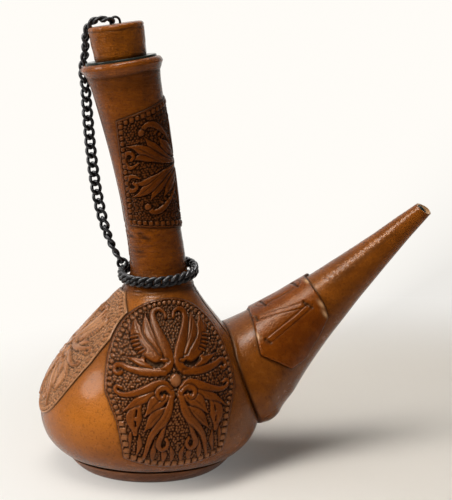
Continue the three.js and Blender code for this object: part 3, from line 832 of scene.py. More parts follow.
@dataclass(frozen=True)
class Panel:
    """A tooled panel on its own flat drawing, with a beaded border."""

    name: str
    node: str
    low: float
    high: float
    columns: int
    rows: int
    sag: float = 0.0
    pearl_pitch: float = 3.0
    pearl_r: float = 1.25
    pearl_height: float = 0.8
    inset: float = 2.7
    rise: float = 0.55
    sunk_edge: float = -0.4
    pebble_pitch: float = 1.7
    pebble_height: float = 0.6
    rim: Point = (0.9, 1.5)
    rim_height: float = 0.42
    rim_fall: float = 0.45
    rim_round: float = 0.75
    square: float = 0.0
    blocky_below: float = 0.0
    blocky_run: float = 8
    blocky_growth: float = 0.35
    paleness: float = 0.0
    shine: float = 0.4
    darkened: float = 0.0
    top_shade: float = 0.0
    foot_light: float = 0.0
    seed: int = 3

    def half(self, h: Array) -> Array:
        """Half the width at a height of the drawing."""
        raise NotImplementedError

    def place(self, x: Array, h: Array, out: Array) -> Array:
        """Points of the drawing, laid on the leather."""
        raise NotImplementedError

    def motif(self, tool: Tooling) -> None:
        """Carve the panel's leaves."""
        raise NotImplementedError

    def drawing(self) -> tuple[Array, Array]:
        """Flat coordinates of the panel's points, evenly spaced along its edge.

        Returns:
            Distance across and height, in rows from the bottom up.
        """
        fine = np.linspace(self.low, self.high, 2000)
        edge = lengths(np.stack([self.half(fine), fine], axis=1))
        h = np.interp(np.linspace(0, edge[-1], self.rows), edge, fine)[:, None]
        u = np.linspace(-1, 1, self.columns)[None, :]
        left = 1 - (h - self.low) / (self.high - self.low)
        return u * self.half(h), h - self.sag * (1 - u * u) * left

    def border(self, x: Array, h: Array) -> Array:
        """Closed line along the drawing's foot, up its right side and down its left."""
        grid = np.stack([x, h], axis=-1)
        return np.vstack([grid[0, :-1], grid[:-1, -1], grid[::-1, 0]])

    def pearls(self, tool: Tooling, edge: Array) -> None:
        """Strike the pearls inside the edge.

        Args:
            tool: The panel's tooling.
            edge: Closed line round the panel.
        """
        round_edge = spaced(edge, 400)
        ahead = np.roll(round_edge, -3, axis=0) - np.roll(round_edge, 3, axis=0)
        inward = np.stack([-ahead[:, 1], ahead[:, 0]], axis=1)
        line = round_edge + unit(inward) * self.inset
        far = lengths(line)
        chance = np.random.default_rng(self.seed + 9)
        at = 0.0
        while at < far[-1] - self.pearl_pitch / 2:
            x, y = (float(np.interp(at, far, column)) for column in line.T)
            low = float(smooth(self.blocky_below - y, 0, self.blocky_run))
            growth = 1 + self.blocky_growth * low
            grown = self.pearl_r * growth * chance.uniform(0.9, 1.06)
            tool.pearl(x, y, grown, self.pearl_height, max(low, self.square))
            at += self.pearl_pitch * growth

    def shades(self, tool: Tooling, height: Array, inside: Array) -> dict[str, Array]:
        """What the finish reads: stains in the hollows, painted shade along the cut edge and towards the
        top, wear on the high parts, and tone of the hide with painted light and sheen.

        Args:
            tool: The panel's tooling.
            height: Height of the carved leather.
            inside: Distance from the panel's edge.

        Returns:
            The values, by name.
        """
        low = softened(height, 16)
        deep = np.clip((low - height) / 0.3, 0, 1)
        ground = fall(height, 0.2, 0.85) * smooth(inside, *self.rim)
        upper = (tool.y - self.low) / (self.high - self.low)
        stain = (0.95 * deep + 0.35 * ground) * (1 - 0.4 * self.paleness) + self.darkened
        # Painted shade darkens the panel towards its top; painted light lightens it towards its foot, in the
        # tone below.
        stain += self.top_shade * smooth(upper, 0.4, 0.9)
        # The pits are stained; the line along the cut edge is painted shade.
        stain += 0.9 * tool.hollow + 0.5 * fall(inside, 0, 1.0)
        # Tone: the panel's paleness, painted light towards the foot and painted sheen on the pearls and
        # pebble tops.
        tone = self.paleness + self.foot_light * fall(upper, 0.1, 0.6) + self.shine * tool.sheen
        worn = np.clip((height - low) / 0.45, 0, 1) * smooth(height, 0.15, 0.9)
        return {"stain": np.clip(stain, 0, 1), "wear": worn, "tone": np.clip(tone, 0, 1)}

    def build(self) -> None:
        """Make the tooled panel, with its edge turned down to the leather under it."""
        x, h = self.drawing()
        edge = self.border(x, h)
        tool = Tooling(x, h, self.seed)
        tool.matting(self.pebble_pitch, self.pebble_height)
        self.motif(tool)
        self.pearls(tool, edge)
        inside, _ = nearest(x, h, spaced(edge, 240))
        height = tool.height + (self.rim_height - tool.height) * fall(inside, *self.rim)
        height -= self.rim_fall * fall(inside, 0, self.rim_round)
        out = np.pad(self.rise + height, 1, constant_values=self.sunk_edge)
        points = self.place(np.pad(x, 1, mode="edge"), np.pad(h, 1, mode="edge"), out)
        shades = self.shades(tool, height, inside)
        values = {key: np.pad(grid, 1, mode="edge") for key, grid in shades.items()}
        fit_piece(self.name, [Patch(points, values)], Finish.TOOLED, Body.VESSEL, [self.node])


@dataclass(frozen=True)
class OvalPanel(Panel):
    """Oval panel on one side of the belly."""

    side: Side = Side.FRONT
    middle_z: float = 60
    half_width: float = 39.5
    waist_z: float = 45
    waist_half: float = 34.2
    foot_half: float = 29.8
    pit_depth: float = 0.25
    button_r: float = 3.5
    button_height: float = 1.35

    def half(self, h: Array) -> Array:
        """Half the width of the drawing.

Args:
    h: Heights in the drawing.

Returns:
    Half the width at each height.
"""
        arch = np.clip((h - self.middle_z) / (self.high - self.middle_z), 0, 1)
        upper = self.half_width * np.sqrt(np.clip(1 - arch**2, 0, 1))
        levels = (self.low, self.waist_z, self.middle_z)
        lower = np.interp(h, levels, (self.foot_half, self.waist_half, self.half_width))
        return np.where(h < self.middle_z, lower, upper)

    def place(self, x: Array, h: Array, out: Array) -> Array:
        """Lay points of the drawing on the belly.

    Args:
        x: Distances across.
        h: Heights.
        out: Distances out from the leather.

    Returns:
        Points in the part's frame.
    """
        theta = self.side.value * np.arccos(np.clip(x / VESSEL.radius(h), -1, 1))
        points = VESSEL.skin(theta, h, out)
        return points if self.side is Side.FRONT else points[:, ::-1]

    def motif(self, tool: Tooling) -> None:
        """Carve four leaves round a button.

        Args:
            tool: The panel's tooling.
        """
        for leaf in (*UPPER_LEAVES, *LOWER_LEAVES):
            tool.carve(leaf)
        for line, width in PITS:
            tool.pit(line, width, self.pit_depth)
        tool.pearl(0, BUTTON_Y, self.button_r, self.button_height)


@dataclass(frozen=True)
class ShieldPanel(Panel):
    """Shield between the two ovals, at the back of the belly."""

    corner_z: float = 98
    corner_half: float = 26.5
    middle_z: float = 74
    half_width: float = 31.3
    top_half: float = 7.5
    foot_pull: float = 20
    foot_full: float = 0.7
    gap: float = 0.6
    small: float = 0.72
    lift: float = 27
    button_r: float = 2.7
    button_height: float = 1.3

    def half(self, h: Array) -> Array:
        """Half the width of the drawing.

Args:
    h: Heights in the drawing.

Returns:
    Half the width at each height.
"""
        full = self.half_width
        pulls = ((full * self.foot_full, self.low), (full, self.middle_z - self.foot_pull))
        foot = curve([(0, self.low), *pulls, (full, self.middle_z)], 60)
        low = np.interp(h, foot[:, 1], foot[:, 0])
        levels = (self.middle_z, self.corner_z, self.high)
        high = np.interp(h, levels, (full, self.corner_half, self.top_half))
        own = np.where(h < self.middle_z, low, high)
        beside = VESSEL.radius(h) ** 2 - OVALS[0].half(h) ** 2
        return np.where(h < OVALS[0].high, np.minimum(own, np.sqrt(beside) - self.gap), own)

    def place(self, x: Array, h: Array, out: Array) -> Array:
        """Points of the drawing, laid on the back of the belly."""
        theta = math.pi + np.arcsin(np.clip(x / VESSEL.radius(h), -1, 1))
        return VESSEL.skin(theta, h, out)

    def motif(self, tool: Tooling) -> None:
        """Carve the four leaves at a smaller size.

     Args:
         tool: The panel's tooling.
     """
        for leaf in (*UPPER_LEAVES, *LOWER_LEAVES[5:]):
            line = tuple((x * self.small, y * self.small + self.lift) for x, y in leaf.line)
            tool.carve(replace(leaf, line=line, width=leaf.width * self.small))
        tool.pearl(0, BUTTON_Y * self.small + self.lift, self.button_r, self.button_height)


@dataclass(frozen=True)
class NeckPanel(Panel):
    """Panel wrapped round the neck, with peaked upper and lower edges."""

    half_width: float = 46.3
    peak: float = 8
    middle: float = 61.7
    curl: tuple[Point, ...] = ((-39.6, 70.8), (-39.8, 70.2))
    curl_width: float = 2.2
    curl_depth: float = 0.3
    bud: Point = (31.6, 84.2)
    bud_r: float = 2.1
    bud_height: float = 1.1
    button_r: float = 3.2
    button_height: float = 1.25

    def half(self, h: Array) -> Array:
        """Half the width at a height of the drawing."""
        return np.full(np.shape(h), self.half_width)

    def drawing(self) -> tuple[Array, Array]:
        """Flat coordinates of the panel's points.

        Returns:
            Arc from the spout side and rise over the neck's foot, in rows from the bottom up.
        """
        u = np.linspace(-1, 1, self.columns)[None, :]
        v = np.linspace(0, 1, self.rows)[:, None]
        peak = self.peak * (1 - np.abs(u))
        return u * self.half_width + 0 * v, (self.low - peak) * (1 - v) + (self.high + peak) * v

    def border(self, x: Array, h: Array) -> Array:
        """Closed line along the drawing's foot, up its right side, back along its head and down its left."""
        grid = np.stack([x, h], axis=-1)
        return np.vstack([grid[0, :-1], grid[:-1, -1], grid[-1, :0:-1], grid[::-1, 0]])

    def place(self, x: Array, h: Array, out: Array) -> Array:
        """Points of the drawing, wrapped round the neck."""
        up = VESSEL.neck_z + h
        return VESSEL.skin(x / VESSEL.radius(up), up, out)

    def motif(self, tool: Tooling) -> None:
        """Carve fans of petals with scrolls, the same above and below the middle.

Args:
    tool: The panel's tooling.
"""
        kept = tool.drawn_y
        tool.drawn_y = self.middle + np.abs(kept - self.middle)
        for leaf in NECK_LEAVES:
            tool.carve(leaf)
        tool.pit(self.curl, self.curl_width, self.curl_depth)
        tool.drawn_y = kept
        side, rise = self.bud
        for x in (-side, side):
            for y in (rise, 2 * self.middle - rise):
                tool.pearl(x, y, self.bud_r, self.bud_height)
        tool.pearl(0, self.middle, self.button_r, self.button_height)


OVALS = tuple(
    OvalPanel(
        name, node, low=23, high=110, columns=200, rows=246, sag=6.5, blocky_below=50,
        top_shade=0.22, foot_light=0.1, seed=seed, side=side,
    )
    for name, node, side, seed in (
        ("medallion_front", "front_medallion", Side.FRONT, 3),
        ("medallion_rear", "rear_medallion", Side.REAR, 23),
    )
)
# The back panel's paleness is painted light and sheen, where light falls across the back of the belly.
SHIELD = ShieldPanel(
    "medallion_back", "back_medallion", low=37.2, high=113, columns=150, rows=210, paleness=0.92, seed=43
)
NECK_TOOLING = NeckPanel(
    "neck_tooling", "neck_panel", low=28.5, high=94, columns=236, rows=196, pearl_pitch=3.5, pearl_r=1.5,
    inset=2.9, square=0.45, shine=0.1, darkened=0.3, seed=63,
)


# Shader graphs


class Value:
    """A socket of a shader graph that takes part in sums."""

    def __init__(self, graph: "Graph", socket: bpy.types.NodeSocket) -> None:
        """Wrap an output socket of a graph."""
        self.graph, self.socket = graph, socket

    def _sum(self, operation: str, first: "Value | float", second: "Value | float") -> "Value":
        """Add one Math node."""
        return self.graph.value("ShaderNodeMath", {"operation": operation}, {0: first, 1: second})

    def __add__(self, other: "Value | float") -> "Value":
        """Sum."""
        return self._sum("ADD", self, other)

    __radd__ = __add__

    def __sub__(self, other: "Value | float") -> "Value":
        """Difference."""
        return self._sum("SUBTRACT", self, other)

    def __rsub__(self, other: "Value | float") -> "Value":
        """Difference from a number."""
        return self._sum("SUBTRACT", other, self)

    def __mul__(self, other: "Value | float") -> "Value":
        """Product."""
        return self._sum("MULTIPLY", self, other)

    __rmul__ = __mul__

    def __or__(self, other: "Value") -> "Value":
        """The greater of two values."""
        return self._sum("MAXIMUM", self, other)

    def between(self, low: float, high: float) -> "Value":
        """Ease from 0 at low to 1 at high."""
        inputs = {"Value": self, "From Min": low, "From Max": high}
        return self.graph.value("ShaderNodeMapRange", {"interpolation_type": "SMOOTHSTEP"}, inputs)


class Graph:
    """The node graph of a material or of the world."""

    def __init__(self, owner: bpy.types.Material | bpy.types.World) -> None:
        """Start with an empty graph.

        Args:
            owner: The material or world that the graph belongs to.
        """
        owner.use_nodes = True
        self.owner, self.tree = owner, owner.node_tree
        self.tree.nodes.clear()

    def node(self, kind: str, settings: Settings, inputs: Inputs) -> bpy.types.Node:
        """Add a node.

        Args:
            kind: The node's type.
            settings: Properties, set first.
            inputs: Values or links of its sockets, by name or number.

        Returns:
            The node.
        """
        node = self.tree.nodes.new(kind)
        for key, setting in settings.items():
            setattr(node, key, setting)
        for key, given in inputs.items():
            if isinstance(given, Value):
                self.tree.links.new(given.socket, node.inputs[key])
            elif isinstance(given, tuple) and len(given) == 3 and node.inputs[key].type == "RGBA":
                node.inputs[key].default_value = (*given, 1.0)
            else:
                node.inputs[key].default_value = given
        return node

    def value(self, kind: str, settings: Settings, inputs: Inputs, out: str | int = 0) -> Value:
        """Add a node and take one of its outputs, by name or number."""
        return Value(self, self.node(kind, settings, inputs).outputs[out])

    def mixed(self, share: Value | float, first: Value | Colour, second: Value | Colour) -> Value:
        """A colour between two others."""
        settings = {"data_type": "RGBA", "clamp_factor": True}
        return self.value("ShaderNodeMix", settings, {0: share, 6: first, 7: second}, 2)

    def place(self, stretch: Place = (1, 1, 1)) -> Value:
        """Coordinates of the object, stretched along its axes."""
        at = self.value("ShaderNodeTexCoord", {}, {}, "Object")
        return self.value("ShaderNodeMapping", {}, {"Vector": at, "Scale": stretch})

    def noise(self, at: Value, scale: float, detail: float, rough: float = 0.5) -> Value:
        """Noise from 0 to 1 with features 1/scale metres apart."""
        inputs = {"Vector": at, "Scale": scale, "Detail": detail, "Roughness": rough}
        return self.value("ShaderNodeTexNoise", {}, inputs)

    def cells(self, at: Value, scale: float) -> Value:
        """Distance from the middle of the nearest cell, with cells 1/scale metres apart."""
        return self.value("ShaderNodeTexVoronoi", {}, {"Vector": at, "Scale": scale}, "Distance")

    def attribute(self, name: str) -> Value:
        """A value stored on the mesh."""
        return self.value("ShaderNodeAttribute", {"attribute_name": name}, {}, "Fac")

    def bump(self, height: Value, distance: float, strength: float) -> Value:
        """A normal from a height."""
        inputs = {"Height": height, "Distance": distance, "Strength": strength}
        return self.value("ShaderNodeBump", {}, inputs)

    def vector(self, operation: str, first: Value, second: Value | Place = (0, 0, 0)) -> Value:
        """A vector, or a number where the operation gives one, from one or two vectors."""
        out = "Value" if operation in ("DOT_PRODUCT", "LENGTH") else "Vector"
        return self.value("ShaderNodeVectorMath", {"operation": operation}, {0: first, 1: second}, out)

    def surface(self, inputs: Inputs) -> bpy.types.Material:
        """Close the graph with one surface shader.

     Args:
         inputs: Values or links of the shader's sockets.

     Returns:
         The material.
     """
        shader = self.value("ShaderNodeBsdfPrincipled", {}, inputs)
        self.node("ShaderNodeOutputMaterial", {}, {"Surface": shader})
        return self.owner


@dataclass(frozen=True)
class LeatherFinish:
    """Polished leather: stained and darkened by painted shade in seams and hollows, worn on the edges, pale
    where it is cut, and lightened by painted light and sheen.
    """

    name: str
    slot: Slot
    dark: Colour
    brown: Colour
    tan: Colour
    pale: Colour = (0.46, 0.143, 0.015)
    raw: Colour = (0.62, 0.38, 0.19)
    roughness: float = 0.25
    coat: float = 0.2
    coat_roughness: float = 0.16
    specular: float = 0.14
    specular_tint: Colour = (1.0, 0.5, 0.2)
    grain: float = 1.0
    dimples: float = 0.25
    wrinkles: float = 0.0
    cloud_scale: float = 26
    mottle_scale: float = 150
    mottle_squeeze: float = 140
    pore_scale: float = 900
    fine_scale: float = 1400
    dimple_scale: float = 420
    crease_scale: Place = (120, 120, 620)
    relief: float = 0.0005

    def material(self) -> bpy.types.Material:
        """Make the finish's material.

        Returns:
            The material.
        """
        g = Graph(bpy.data.materials.new(self.name))
        at = g.place()
        stain, worn, raw = g.attribute("stain"), g.attribute("wear"), g.attribute("raw")
        paleness, rubbed = g.attribute("tone"), g.attribute("rubbed")
        clouds = g.noise(at, self.cloud_scale, 4, 0.6)
        tall = self.mottle_scale + self.mottle_squeeze * self.wrinkles
        mottle = g.noise(g.place((self.mottle_scale, self.mottle_scale, tall)), 1, 5, 0.65)
        pores = g.cells(at, self.pore_scale)
        hide = g.mixed((clouds * 0.6 + mottle * 0.6 - 0.1).between(0.15, 0.85), self.brown, self.tan)
        # Tone lightens the hide: painted light and sheen on the belly, shoulder and tooled panels, real pale
        # scuffs on the sole, and a paler stopper.
        hide = g.mixed(paleness * (clouds.between(0.25, 0.75) * 0.5 + 0.6), hide, self.pale)
        hide = g.mixed(pores.between(0.55, 0.95) * (0.35 - rubbed * 0.28), hide, self.dark)
        hide = g.mixed(worn * 0.6, hide, self.tan)
        # Darkening read from the mesh: real stains, seams and streaks, and painted shade in creases, joints,
        # slits and under parts.
        hide = g.mixed(stain * 0.97 + (mottle - 0.5) * stain * 0.4, hide, self.dark)
        hide = g.mixed(raw * (mottle.between(0.3, 0.6) * 0.5 + 0.5), hide, self.raw)
        gloss = self.roughness + stain * 0.22 + (mottle - 0.5) * 0.18 - worn * 0.05
        fine = g.noise(at, self.fine_scale, 3, 0.6)
        creases = g.noise(g.place(self.crease_scale), 1, 5, 0.62)
        grain = pores * (-0.5 * self.grain) + fine * (0.35 * self.grain)
        height = grain * (1 - rubbed * 0.8) + creases.between(0.3, 0.72) * self.wrinkles
        height = height + clouds * 0.6 + g.noise(at, self.dimple_scale, 2) * self.dimples
        return g.surface(
            {
                "Base Color": hide,
                "Roughness": gloss,
                "Normal": g.bump(height, self.relief, 0.6),
                "Coat Weight": self.coat - stain * self.coat,
                "Coat Roughness": self.coat_roughness,
                "Specular IOR Level": self.specular,
                "Specular Tint": self.specular_tint,
            }
        )


@dataclass(frozen=True)
class SteelFinish:
    """Blackened steel wire, rubbed grey on its outside."""

    name: str = "blackened_steel"
    slot: Slot = Slot.STEEL
    black: Colour = (0.008, 0.008, 0.009)
    rubbed: Colour = (0.1, 0.1, 0.105)

    def material(self) -> bpy.types.Material:
        """Make the finish's material.

        Returns:
            The material.
        """
        g = Graph(bpy.data.materials.new(self.name))
        at = g.place()
        blotch = g.noise(at, 420, 4, 0.6)
        rub = g.attribute("wear").between(0.35, 1.0) * blotch.between(0.3, 0.7)
        return g.surface(
            {
                "Base Color": g.mixed(rub, self.black, self.rubbed),
                "Metallic": 0.7,
                "Coat Weight": 0.25,
                "Coat Roughness": 0.2,
                "Roughness": 0.34 - rub * 0.08 + (blotch - 0.5) * 0.16,
                "Specular IOR Level": 0.3,
                "Normal": g.bump(g.noise(at, 2600, 3), 0.0002, 0.25),
            }
        )


@dataclass(frozen=True)
class GlassFinish:
    """Thick old glass with a grey-green tint and faint streaks."""

    name: str = "old_glass"
    slot: Slot = Slot.GLASS
    tint: Colour = (0.010, 0.014, 0.011)
    streak: Colour = (0.03, 0.038, 0.032)

    def material(self) -> bpy.types.Material:
        """Make the finish's material.

        Returns:
            The material.
        """
        g = Graph(bpy.data.materials.new(self.name))
        at = g.place()
        streaks = g.noise(g.place((40, 40, 200)), 1, 3)
        return g.surface(
            {
                "Base Color": g.mixed(streaks * 0.5, self.tint, self.streak),
                "Roughness": 0.1 + g.noise(at, 300, 3) * 0.1,
                "Specular IOR Level": 0.16,
            }
        )


@dataclass(frozen=True)
class CorkFinish:
    """Bare cork with dark pores."""

    name: str = "cork"
    slot: Slot = Slot.CORK
    brown: Colour = (0.42, 0.25, 0.12)
    pale: Colour = (0.56, 0.36, 0.19)
    pore: Colour = (0.09, 0.045, 0.02)

    def material(self) -> bpy.types.Material:
        """Make the finish's material.

        Returns:
            The material.
        """
        g = Graph(bpy.data.materials.new(self.name))
        at = g.place()
        pores = g.cells(g.place((1, 1, 1.8)), 240).between(0.0, 0.3)
        grain = g.noise(at, 160, 5, 0.7)
        ground = g.mixed(grain, self.brown, self.pale)
        return g.surface(
            {
                "Base Color": g.mixed(pores, self.pore, ground),
                "Roughness": 0.92 - grain * 0.15,
                "Normal": g.bump(pores * 0.8 + grain * 0.4, 0.0005, 0.8),
            }
        )


class Finish(Enum):
    """The finishes that a piece can have."""

    LEATHER = LeatherFinish(
        "moulded_leather", Slot.LEATHER, (0.015, 0.005, 0.002), (0.105, 0.025, 0.001), (0.25, 0.07, 0.006),
        wrinkles=0.25,
    )
    NECK = LeatherFinish(
        "neck_leather", Slot.LEATHER, (0.009, 0.003, 0.001), (0.05, 0.009, 0.0003), (0.24, 0.06, 0.001),
        pale=(0.42, 0.13, 0.006), roughness=0.22, coat=0.28, dimples=0.9, wrinkles=1.1,
    )
    TOOLED = LeatherFinish(
        "tooled_leather", Slot.TOOLED, (0.006, 0.002, 0.001), (0.06, 0.0115, 0.0005), (0.19, 0.044, 0.002),
        pale=(0.5, 0.24, 0.11), roughness=0.22, coat=0.18, grain=0.6,
    )
    SOLE = LeatherFinish(
        "sole_leather", Slot.SOLE, (0.012, 0.005, 0.003), (0.095, 0.027, 0.009), (0.27, 0.1, 0.04),
        pale=(0.46, 0.22, 0.11), roughness=0.4, coat=0.05,
    )
    STRAP = LeatherFinish(
        "strap_leather", Slot.STRAP, (0.008, 0.003, 0.001), (0.095, 0.018, 0.0005), (0.22, 0.05, 0.001),
        roughness=0.27, dimples=0.5,
    )
    STEEL = SteelFinish()
    GLASS = GlassFinish()
    CORK = CorkFinish()


@cache
def materials() -> dict[Finish, bpy.types.Material]:
    """The material of every finish, made once."""
    return {finish: finish.value.material() for finish in Finish}


def fit_piece(name: str, patches: Iterable[Patch], finish: Finish, body: Body, nodes: Sequence[str]) -> None:
    """Make a piece, with its finish, its body and the nodes that it stands for.

    Args:
        name: The piece's name.
        patches: Sheets that go into it.
        finish: Its finish.
        body: Body that it rides on.
        nodes: Nodes that it replaces.
    """
    piece = mesh_of(name, patches)
    piece.data.materials.append(materials()[finish])
    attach(piece, body.value)
    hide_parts(*nodes)
    log.info("%s: %d faces on %s", name, len(piece.data.polygons), body.value)


# Pieces


@dataclass
class BodyLeather:
    """The moulded skin of the belly in two halves and a gusset, with the sole under it."""

    gusset_turn: float = math.radians(25)
    gusset_z: float = 60
    overlap: float = 1.5
    groove: float = 1.1
    groove_run: float = 1.3
    unevenness: float = 0.16
    creases: tuple[float, ...] = (107.2, 109.6, 111.6)
    crease_run: float = 0.45
    crease_depth: float = 0.3
    crease_shade: float = 0.5
    foot_run: float = 1.1
    foot_depth: float = 0.7
    edge_darkening: float = 0.97
    foot_stain: float = 0.8
    spout_joint_shade: Point = (1.5, 0.85)
    sleeve_stain: Point = (1.2, 0.6)
    panel_edge_shade: Point = (0.7, 0.75)
    # Painted light: a lit patch on the belly beside the back panel and a painted highlight on the shoulder,
    # carried as tone.
    lit_turn: float = math.radians(48)
    lit_span: float = math.radians(30)
    lit_z: float = 50
    lit_rise: float = 24
    lit_slant: float = math.radians(0.7)
    shoulder_turn: float = math.radians(120)
    shoulder_span: float = math.radians(38)
    shoulder_z: float = 104
    shoulder_rise: float = 13
    shoulder_highlight: float = 0.5
    rows: int = 150
    gusset_rows: int = 90
    columns: int = 150
    sole_gap: float = 0.35
    sole_thickness: float = 2.2
    sole_scuffs: float = 0.35
    sole_wear: Point = (1.2, 0.7)

    def seam(self, h: Array) -> Array:
        """Angle of the gusset's edge from the spout's line at a height."""
        return self.gusset_turn * smooth(h, self.gusset_z - 6, self.gusset_z + 4)

    def half(self, turn: tuple[Array, Array], h: Array) -> Patch:
        """Skin between two edges.

        Args:
            turn: Angles of the two edges at each row.
            h: Height of each row.

        Returns:
            The skin, with its edges turned in.
        """
        even = np.linspace(0, 1, self.columns)
        u = (0.5 - 0.5 * np.cos(math.pi * even)) * 0.35 + even * 0.65
        first, last = (edge[:, None] for edge in turn)
        theta = first + (last - first) * u
        high = np.broadcast_to(h[:, None], theta.shape)
        side = np.minimum(theta - first, last - theta) * VESSEL.radius(high)
        foot = high - VESSEL.seam_z
        crease = self.creased(theta, high)
        out = self.unevenness * waviness(theta * 60, high, 55, 5) - self.crease_depth * crease
        out = out - self.groove * fall(side, 0, self.groove_run)
        out = out - self.foot_depth * fall(foot, 0, self.foot_run)
        points = VESSEL.skin(theta, high, out)
        stain = self.edge_darkening * fall(side, 0.5, 1.8) + self.foot_stain * fall(foot, 0.3, 2)
        # Darkest of: painted shade in the joint with the spout, the dark line at the sleeve's edge, painted
        # shade in the creases and painted shade along the panels' edges.
        for line in (
            bell(SPOUT.clear_of(points), *self.spout_joint_shade),
            bell(high - VESSEL.sleeve_z, *self.sleeve_stain),
            self.crease_shade * crease,
            self.beside_panels(theta, high, points),
        ):
            stain = np.maximum(stain, line)
        return Patch(points, {"stain": np.clip(stain, 0, 1), "tone": self.paled(theta, high)})

    def creased(self, theta: Array, h: Array) -> Array:
        """Creases of the skin below the neck.

Args:
    theta: Angles of the skin's points.
    h: Their heights.

Returns:
    How deep the creases are, from 0 to about 1.
"""
        level = h + 0.7 * waviness(theta * 24, h, 30, 6)
        lines = sum(bell(level - z, self.crease_run) for z in self.creases)
        return lines * smooth(waviness(theta * 24, h * 4, 26, 7), -0.1, 0.5)

    def paled(self, theta: Array, h: Array) -> Array:
        """How much painted light lightens the hide.

        Args:
            theta: Angles of the skin's points.
            h: Their heights.

        Returns:
            From 0 to 1: a painted pool of light on the belly either side of the back panel, and a painted
                highlight on the shoulder.
        """
        back = np.abs(np.mod(theta, FULL_TURN) - math.pi) - self.lit_turn
        back = back - self.lit_slant * (h - self.lit_z)
        belly = bell(back, self.lit_span) * bell(h - self.lit_z, self.lit_rise)
        beside = np.abs(theta) - self.shoulder_turn
        shoulder = bell(beside, self.shoulder_span) * bell(h - self.shoulder_z, self.shoulder_rise)
        return np.clip(belly + self.shoulder_highlight * shoulder, 0, 1)

    def beside_panels(self, theta: Array, h: Array, points: Array) -> Array:
        """Painted shade along the panels' cut edges.

        Args:
            theta: Angles of the skin's points.
            h: Their heights.
            points: Their places.

        Returns:
            How dark the painted shade is at each point.
        """
        across = VESSEL.radius(h) * np.cos(theta)
        oval = OVALS[0]
        foot = oval.low - oval.sag * (1 - np.clip(across / oval.foot_half, -1, 1) ** 2)
        side = np.abs(across) - oval.half(np.clip(h, oval.low, oval.high))
        past = np.where(h > oval.low, side, foot - h)
        outside = (h <= oval.low) & (np.abs(across) > oval.foot_half) | (h > oval.high)
        past = np.where(outside, FAR_OFF, past)
        back = np.abs(points[..., 1]) - SHIELD.half(np.clip(h, SHIELD.low, SHIELD.high))
        behind = (points[..., 0] < 0) & (h > SHIELD.low) & (h < SHIELD.high)
        back = np.where(behind, back, FAR_OFF)
        return bell(np.maximum(np.minimum(past, back), 0), *self.panel_edge_shade)

    def build(self) -> None:
        """Make the two halves, the gusset and the sole."""
        top = VESSEL.sleeve_z + self.overlap
        h = np.linspace(VESSEL.seam_z, top, self.rows)
        upper = np.linspace(self.gusset_z + 2, top, self.gusset_rows)
        back, seam, edge = np.full(h.shape, math.pi), self.seam(h), self.seam(upper)
        for name, node, turn, rows in (
            ("skin_front", "front_body_leather", (-back, -seam), h),
            ("skin_rear", "rear_body_leather", (seam, back), h),
            ("skin_gusset", "spout_gusset", (-edge, edge), upper),
        ):
            fit_piece(name, [self.half(turn, rows)], Finish.LEATHER, Body.VESSEL, [node])
        self.build_sole()

    def build_sole(self) -> None:
        """Make the dished sole with rounded edges."""
        floor_r, seam_r, top = VESSEL.floor_r, VESSEL.seam_r, VESSEL.seam_z - self.sole_gap
        brim = (seam_r - 0.9, top - 0.8)
        side = curve([(floor_r, 0), (floor_r + 3.4, 0.3), (seam_r - 3.4, top - 4), brim], 26)
        edge = curve([brim, (seam_r - 0.4, top), (seam_r - 1.6, top)], 6)[1:]
        inner = [(seam_r - 3.4, top - 0.8), (floor_r - 1, self.sole_thickness), (1, self.sole_thickness)]
        outline = np.vstack([[(1.0, 0.0)], side, edge, inner])
        r, z = outline[:, :1], outline[:, 1:]
        theta = np.linspace(0, FULL_TURN, 128, endpoint=False)[None, :]
        r = r + 0.12 * waviness(theta * 50, z, 30, 8) * (r > 20)
        z = np.broadcast_to(z, r.shape)
        points = np.stack([r * np.cos(theta), r * np.sin(theta), z], axis=-1)
        scuffs = smooth(waviness(theta * 50, z * 3, 14, 9), 0.0, 0.8) * smooth(z, 1, 3.5)
        values = {
            "wear": bell(z - top + 0.6, *self.sole_wear),
            "stain": 0.5 * fall(z, 0.2, 2.2) + 0.9 * smooth(z, top - 0.9, top - 0.2),
            "tone": self.sole_scuffs * scuffs,
        }
        fit_piece("sole", [Patch(points, values, ring=True)], Finish.SOLE, Body.VESSEL, ["base_sole"])


